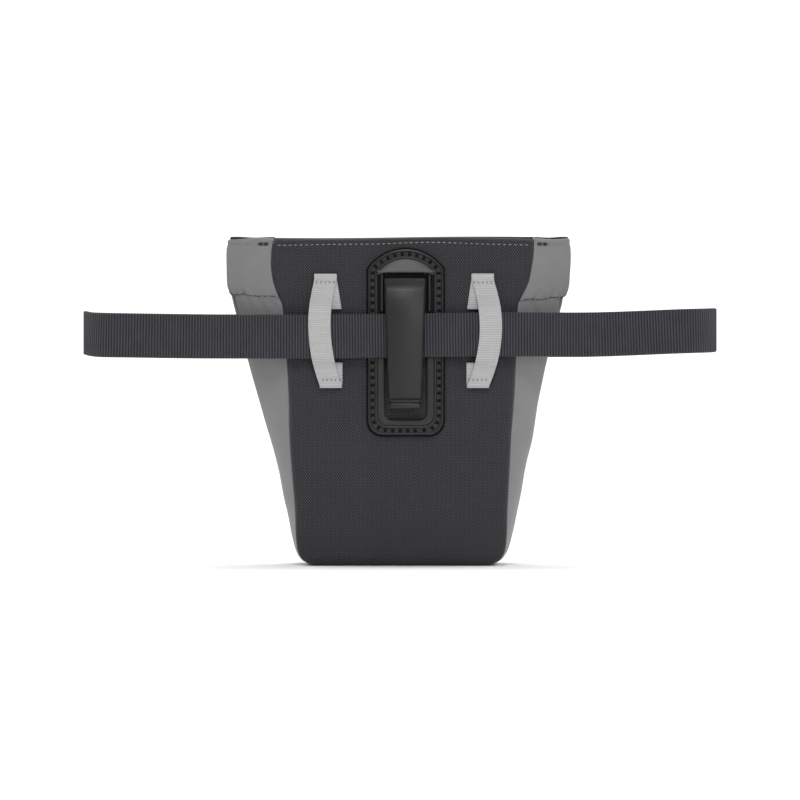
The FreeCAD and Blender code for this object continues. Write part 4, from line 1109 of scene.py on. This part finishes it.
def belt_line():
    """The webbing's middle line from its sewn end round the waist to the adjusting tail."""
    turn, end = 20.0, 124.1
    bar_y, tail_y = BELT_FRONT + BAR_TURN, BELT_FRONT + TAIL_GAP
    crest = bar_y + BAR_TURN
    line = [Vector((-56.0, tail_y, 0)), Vector((-33.0, tail_y, 0))]
    line += [Vector((-31.2 + k, tail_y + (crest - tail_y) * between(0, 5, k), 0))
             for k in range(6)]
    line += [Vector((-22.2 + BAR_TURN * math.sin(a), bar_y + BAR_TURN * math.cos(a), 0))
             for a in (math.pi * k / 12 for k in range(13))]
    line += [Vector((-40.0, BELT_FRONT, 0))]
    line += [Vector((-end - turn * math.sin(a), BELT_FRONT - turn + turn * math.cos(a), 0))
             for a in (math.pi / 2 * k / 16 for k in range(17))]
    line += [Vector((-end - turn * math.cos(a), BELT_BACK + turn - turn * math.sin(a), 0))
             for a in (math.pi / 2 * k / 16 for k in range(17))]
    line += [Vector((end + turn * math.sin(a), BELT_BACK + turn - turn * math.cos(a), 0))
             for a in (math.pi / 2 * k / 16 for k in range(17))]
    line += [Vector((end + turn * math.cos(a), BELT_FRONT - turn + turn * math.sin(a), 0))
             for a in (math.pi / 2 * k / 16 for k in range(17))]
    line += [Vector((14.2 - BAR_TURN * math.sin(a), bar_y - BAR_TURN * math.cos(a), 0))
             for a in (math.pi * k / 12 for k in range(13))]
    line += [Vector((18.2 + k, crest - (crest - tail_y) * between(0, 5, k), 0))
             for k in range(6)]
    line += [Vector((26.0, tail_y, 0)), Vector((100.0, tail_y, 0))]
    return line


def build_belt():
    """The waist belt: one length of ribbed webbing, turned round both buckle bars."""
    sizes = bpy.context.scene.pouch_sizes
    line = eased(spaced(belt_line(), sizes.belt_rib / MM / 4), 2)
    for point in line:
        back = 1 - between(BELT_BACK + 1, BELT_BACK + 18, point.y)
        rise = 2.0 * between(80, 150, point.x) + 0.7 * between(80, 150, -point.x)
        point.z = BELT_Z + rise - back * (0.8 - 0.5 * max(-1.0, min(1.0, point.x / 40)))
        free = between(80, 95, abs(point.x)) * (1 - between(118, 124, abs(point.x)))
        point.y += back * free * 0.5 * math.sin(point.x / 17.0)
    bm = strap(line, Vector((0, 0, 1)), rounded_section(10.0, 0.86), sizes.belt_rib / MM, 0.12)
    belt = finish_piece("belt_webbing_ribbed", bm, finish_of("belt webbing"), "belt")
    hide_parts("belt_webbing")
    spots = []
    for x in (-36.0, -39.0, -52.5):
        for k in range(9):
            spots.append((Vector((x, BELT_FRONT + TAIL_GAP + BELT_HALF, BELT_Z + (k - 4) * 2.0)),
                          Vector((0, 0, 1)), Vector((0, 1, 0))))
    stitch_row("belt_tacks", spots, 1.5, 0.5, finish_of("dark thread"), "belt")


def build_buckle():
    """The side-release buckle, the keeper and the elastic band, on the belt's front."""
    nylon = finish_of("buckle nylon")
    for name, node, bevel, body in (
            ("buckle_socket_moulded", "buckle_socket", 0.35, "belt"),
            ("buckle_plug_moulded", "buckle_plug", 0.3, "belt"),
            ("prong_upper_moulded", "buckle_prong_upper", 0.3, "prong_upper"),
            ("prong_lower_moulded", "buckle_prong_lower", 0.3, "prong_lower"),
            ("belt_keeper_moulded", "belt_keeper", 0.3, "keeper")):
        refined(name, node, nylon, bevel, body)
    low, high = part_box("tail_band")
    low, high = low / MM, high / MM
    middle = (low + high) / 2
    half_y, half_z = (high.y - low.y) / 2 - 0.5, (high.z - low.z) / 2 - 0.5
    turn = 0.9
    line = []
    for side_y, side_z, start in ((1, 1, 0), (-1, 1, 1), (-1, -1, 2), (1, -1, 3)):
        for k in range(5):
            angle = math.pi / 2 * (start + k / 4)
            line.append(Vector((
                middle.x,
                middle.y + side_y * (half_y - turn) + turn * math.cos(angle),
                middle.z + side_z * (half_z - turn) + turn * math.sin(angle))))
    line += [line[0].copy(), line[1].copy()]
    line = spaced(line, 0.3)
    bm = strap(line, Vector((1, 0, 0)), rounded_section((high.x - low.x) / 2, 0.5), 1.2, 0.2)
    band = finish_piece("tail_band_elastic", bm, finish_of("band elastic"), "band")
    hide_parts("tail_band")


def dress_hidden():
    """Finishes for what is sealed inside the cloth."""
    for node, name in (("back_stiffener", "stiffening sheet"),
                       ("base_stiffener", "stiffening sheet"),
                       ("back_magnet", "magnet steel"), ("front_magnet", "magnet steel")):
        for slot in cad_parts[node].material_slots:
            slot.material = finish_of(name)


# ------------------------------------------------------------------ stage

def build_stage():
    """A pale floor that curves up into a backdrop, soft lights and the camera."""
    scene = bpy.context.scene
    bm = bmesh.new()
    bmesh.ops.create_grid(bm, x_segments=8, y_segments=60, size=0.5)
    for vert in bm.verts:
        run = (vert.co.y + 0.5) * 9.0
        flat, bend = 5.0, 1.2
        if run <= flat:
            y, z = run - 3.6, 0.0
        elif run <= flat + bend * math.pi / 2:
            angle = (run - flat) / bend
            y, z = flat - 3.6 + bend * math.sin(angle), bend * (1 - math.cos(angle))
        else:
            y, z = flat - 3.6 + bend, bend + run - flat - bend * math.pi / 2
        vert.co = Vector((vert.co.x * 9.0, y, z)) / MM
    floor = finish_piece("floor", bm, finish_of("backdrop"))

    world = bpy.data.worlds.new("studio")
    world.use_nodes = True
    back = world.node_tree.nodes["Background"]
    back.inputs["Color"].default_value = (1.0, 1.0, 1.0, 1.0)
    back.inputs["Strength"].default_value = scene.pouch_finish.surround
    scene.world = world

    pouch, wall = Vector((0, 0, 0.075)), Vector((0, 2.4, 0.2))
    for name, place, aim, size, power in (
            ("key", (-0.05, -1.35, 1.5), pouch, 0.5, 12.5),
            ("fill", (0.7, -2.1, 0.7), pouch, 0.6, 7.0),
            ("top", (0.1, 0.2, 1.5), pouch, 0.8, 7.0),
            ("wash left", (-1.9, 0.9, 1.9), wall, 1.4, 44.0),
            ("wash right", (1.9, 0.9, 1.9), wall, 1.4, 44.0)):
        lamp = bpy.data.lights.new(name, "AREA")
        lamp.shape = "DISK"
        lamp.size = size
        lamp.energy = power
        holder = bpy.data.objects.new(name, lamp)
        scene.collection.objects.link(holder)
        holder.location = place
        holder.rotation_euler = (aim - Vector(place)).to_track_quat("-Z", "Y").to_euler()

    lens = bpy.data.cameras.new("camera")
    distance = 2.0
    lens.sensor_width = 36.0
    lens.lens = 36.0 * distance / 0.3636
    camera = bpy.data.objects.new("camera", lens)
    scene.collection.objects.link(camera)
    camera.location = (0.0, BACK * MM - distance, 0.07545)
    camera.rotation_euler = (math.pi / 2, 0.0, 0.0)
    scene.camera = camera
    scene.view_settings.view_transform = "Standard"


# ------------------------------------------------------------------ add-on

class PouchSizes(bpy.types.PropertyGroup):
    """Sizes of the sewing and the tapes."""

    hem_pitch: FloatProperty(name="Hem stitch", description="Stitch pitch along the mouth",
                             default=0.0025, unit="LENGTH", precision=4)
    clip_pitch: FloatProperty(name="Clip stitch", description="Stitch pitch round the clip",
                              default=0.0034, unit="LENGTH", precision=4)
    belt_rib: FloatProperty(name="Belt rib", description="Spacing of the webbing's ribs",
                            default=0.0013, unit="LENGTH", precision=4)
    loop_rib: FloatProperty(name="Loop rib", description="Spacing of the grosgrain's ribs",
                            default=0.00105, unit="LENGTH", precision=4)
    weave: FloatProperty(name="Weave", description="Width of one thread of the panel cloth",
                         default=0.00058, unit="LENGTH", precision=5)


class PouchFinish(bpy.types.PropertyGroup):
    """Colours of the cloth, tape, thread and mouldings."""

    surround: FloatProperty(name="Surround", description="Brightness of the studio's walls",
                            default=0.34, min=0.0)
    panel: FloatVectorProperty(name="Panel", description="Woven panel cloth", subtype="COLOR",
                               size=4, min=0, max=1, default=tone(40, (1, 0.98, 1.16)))
    gusset: FloatVectorProperty(name="Gusset", description="Coated side cloth", subtype="COLOR",
                                size=4, min=0, max=1, default=tone(122))
    lining: FloatVectorProperty(name="Lining", description="Inner cloth", subtype="COLOR",
                                size=4, min=0, max=1, default=tone(48))
    webbing: FloatVectorProperty(name="Webbing", description="Belt webbing", subtype="COLOR",
                                 size=4, min=0, max=1, default=tone(52, (1, 0.98, 1.14)))
    ribbon: FloatVectorProperty(name="Ribbon", description="Grosgrain of the loops",
                                subtype="COLOR", size=4, min=0, max=1, default=tone(186))
    plastic: FloatVectorProperty(name="Plastic", description="Moulded clip and buckle",
                                 subtype="COLOR", size=4, min=0, max=1, default=tone(41))
    dark_thread: FloatVectorProperty(name="Dark thread", description="Thread round the clip",
                                     subtype="COLOR", size=4, min=0, max=1, default=tone(50))
    grey_thread: FloatVectorProperty(name="Grey thread", description="Thread on cuffs and loops",
                                     subtype="COLOR", size=4, min=0, max=1, default=tone(150))
    light_thread: FloatVectorProperty(name="Light thread", description="Thread along the mouth",
                                      subtype="COLOR", size=4, min=0, max=1, default=tone(138))


class PouchStep:
    """What the building steps share."""

    bl_options = {"REGISTER", "UNDO"}


class POUCH_OT_stage(PouchStep, bpy.types.Operator):
    """Add the pale floor, the soft lights and the camera"""

    bl_idname = "pouch.stage"
    bl_label = "Studio"

    def execute(self, context):
        build_stage()
        return {"FINISHED"}


class POUCH_OT_back(PouchStep, bpy.types.Operator):
    """Sew the back panel, its turned hem and its lining"""

    bl_idname = "pouch.back"
    bl_label = "Back panel"

    def execute(self, context):
        build_back()
        return {"FINISHED"}


class POUCH_OT_front(PouchStep, bpy.types.Operator):
    """Sew the front panel, its turned hem and its lining"""

    bl_idname = "pouch.front"
    bl_label = "Front panel"

    def execute(self, context):
        build_front()
        return {"FINISHED"}


class POUCH_OT_base(PouchStep, bpy.types.Operator):
    """Sew the base and its lining"""

    bl_idname = "pouch.base"
    bl_label = "Base"

    def execute(self, context):
        build_base()
        return {"FINISHED"}


class POUCH_OT_gussets(PouchStep, bpy.types.Operator):
    """Sew the folded side walls and their turned cuffs"""

    bl_idname = "pouch.gussets"
    bl_label = "Gussets and cuffs"

    def execute(self, context):
        build_gussets()
        return {"FINISHED"}


class POUCH_OT_binding(PouchStep, bpy.types.Operator):
    """Bind the far half of the mouth and leave thread ends under the cuffs"""

    bl_idname = "pouch.binding"
    bl_label = "Binding"

    def execute(self, context):
        build_binding()
        return {"FINISHED"}


class POUCH_OT_hems(PouchStep, bpy.types.Operator):
    """Stitch along the mouth"""

    bl_idname = "pouch.hems"
    bl_label = "Hem stitching"

    def execute(self, context):
        build_hem_stitching()
        return {"FINISHED"}


class POUCH_OT_clip(PouchStep, bpy.types.Operator):
    """Mould the clip plate and stitch it on"""

    bl_idname = "pouch.clip"
    bl_label = "Clip plate"

    def execute(self, context):
        build_clip()
        return {"FINISHED"}


class POUCH_OT_tongue(PouchStep, bpy.types.Operator):
    """Mould the sprung tongue"""

    bl_idname = "pouch.tongue"
    bl_label = "Clip tongue"

    def execute(self, context):
        build_tongue()
        return {"FINISHED"}


class POUCH_OT_loops(PouchStep, bpy.types.Operator):
    """Fold and tack the grosgrain loops"""

    bl_idname = "pouch.loops"
    bl_label = "Belt loops"

    def execute(self, context):
        build_loops()
        return {"FINISHED"}


class POUCH_OT_belt(PouchStep, bpy.types.Operator):
    """Lay the webbing round the waist and through the buckle"""

    bl_idname = "pouch.belt"
    bl_label = "Belt webbing"

    def execute(self, context):
        build_belt()
        return {"FINISHED"}


class POUCH_OT_buckle(PouchStep, bpy.types.Operator):
    """Mould the buckle and keeper and weave the elastic band"""

    bl_idname = "pouch.buckle"
    bl_label = "Buckle"

    def execute(self, context):
        build_buckle()
        return {"FINISHED"}


class POUCH_OT_hidden(PouchStep, bpy.types.Operator):
    """Finish the stiffeners and magnets inside the cloth"""

    bl_idname = "pouch.hidden"
    bl_label = "Sealed pieces"

    def execute(self, context):
        dress_hidden()
        return {"FINISHED"}


OPERATORS = (
    POUCH_OT_stage, POUCH_OT_back, POUCH_OT_front, POUCH_OT_base, POUCH_OT_gussets,
    POUCH_OT_binding, POUCH_OT_hems, POUCH_OT_clip, POUCH_OT_tongue, POUCH_OT_loops, POUCH_OT_belt,
    POUCH_OT_buckle, POUCH_OT_hidden,
)


class POUCH_PT_workshop(bpy.types.Panel):
    """The pouch's sizes, colours and building steps"""

    bl_idname = "POUCH_PT_workshop"
    bl_label = "Belt pouch"
    bl_space_type = "VIEW_3D"
    bl_region_type = "UI"
    bl_category = "Pouch"

    def draw(self, context):
        layout = self.layout
        for group in (context.scene.pouch_sizes, context.scene.pouch_finish):
            box = layout.box()
            for key in group.__annotations__:
                box.prop(group, key)
        for operator in OPERATORS:
            layout.operator(operator.bl_idname)


CLASSES = (PouchSizes, PouchFinish, *OPERATORS, POUCH_PT_workshop)


def register():
    for kind in CLASSES:
        bpy.utils.register_class(kind)
    bpy.types.Scene.pouch_sizes = PointerProperty(type=PouchSizes)
    bpy.types.Scene.pouch_finish = PointerProperty(type=PouchFinish)


def unregister():
    del bpy.types.Scene.pouch_finish
    del bpy.types.Scene.pouch_sizes
    for kind in reversed(CLASSES):
        bpy.utils.unregister_class(kind)


def main():
    register()
    for operator in OPERATORS:
        getattr(bpy.ops.pouch, operator.bl_idname.split(".")[1])()


if __name__ == "__main__":
    main()
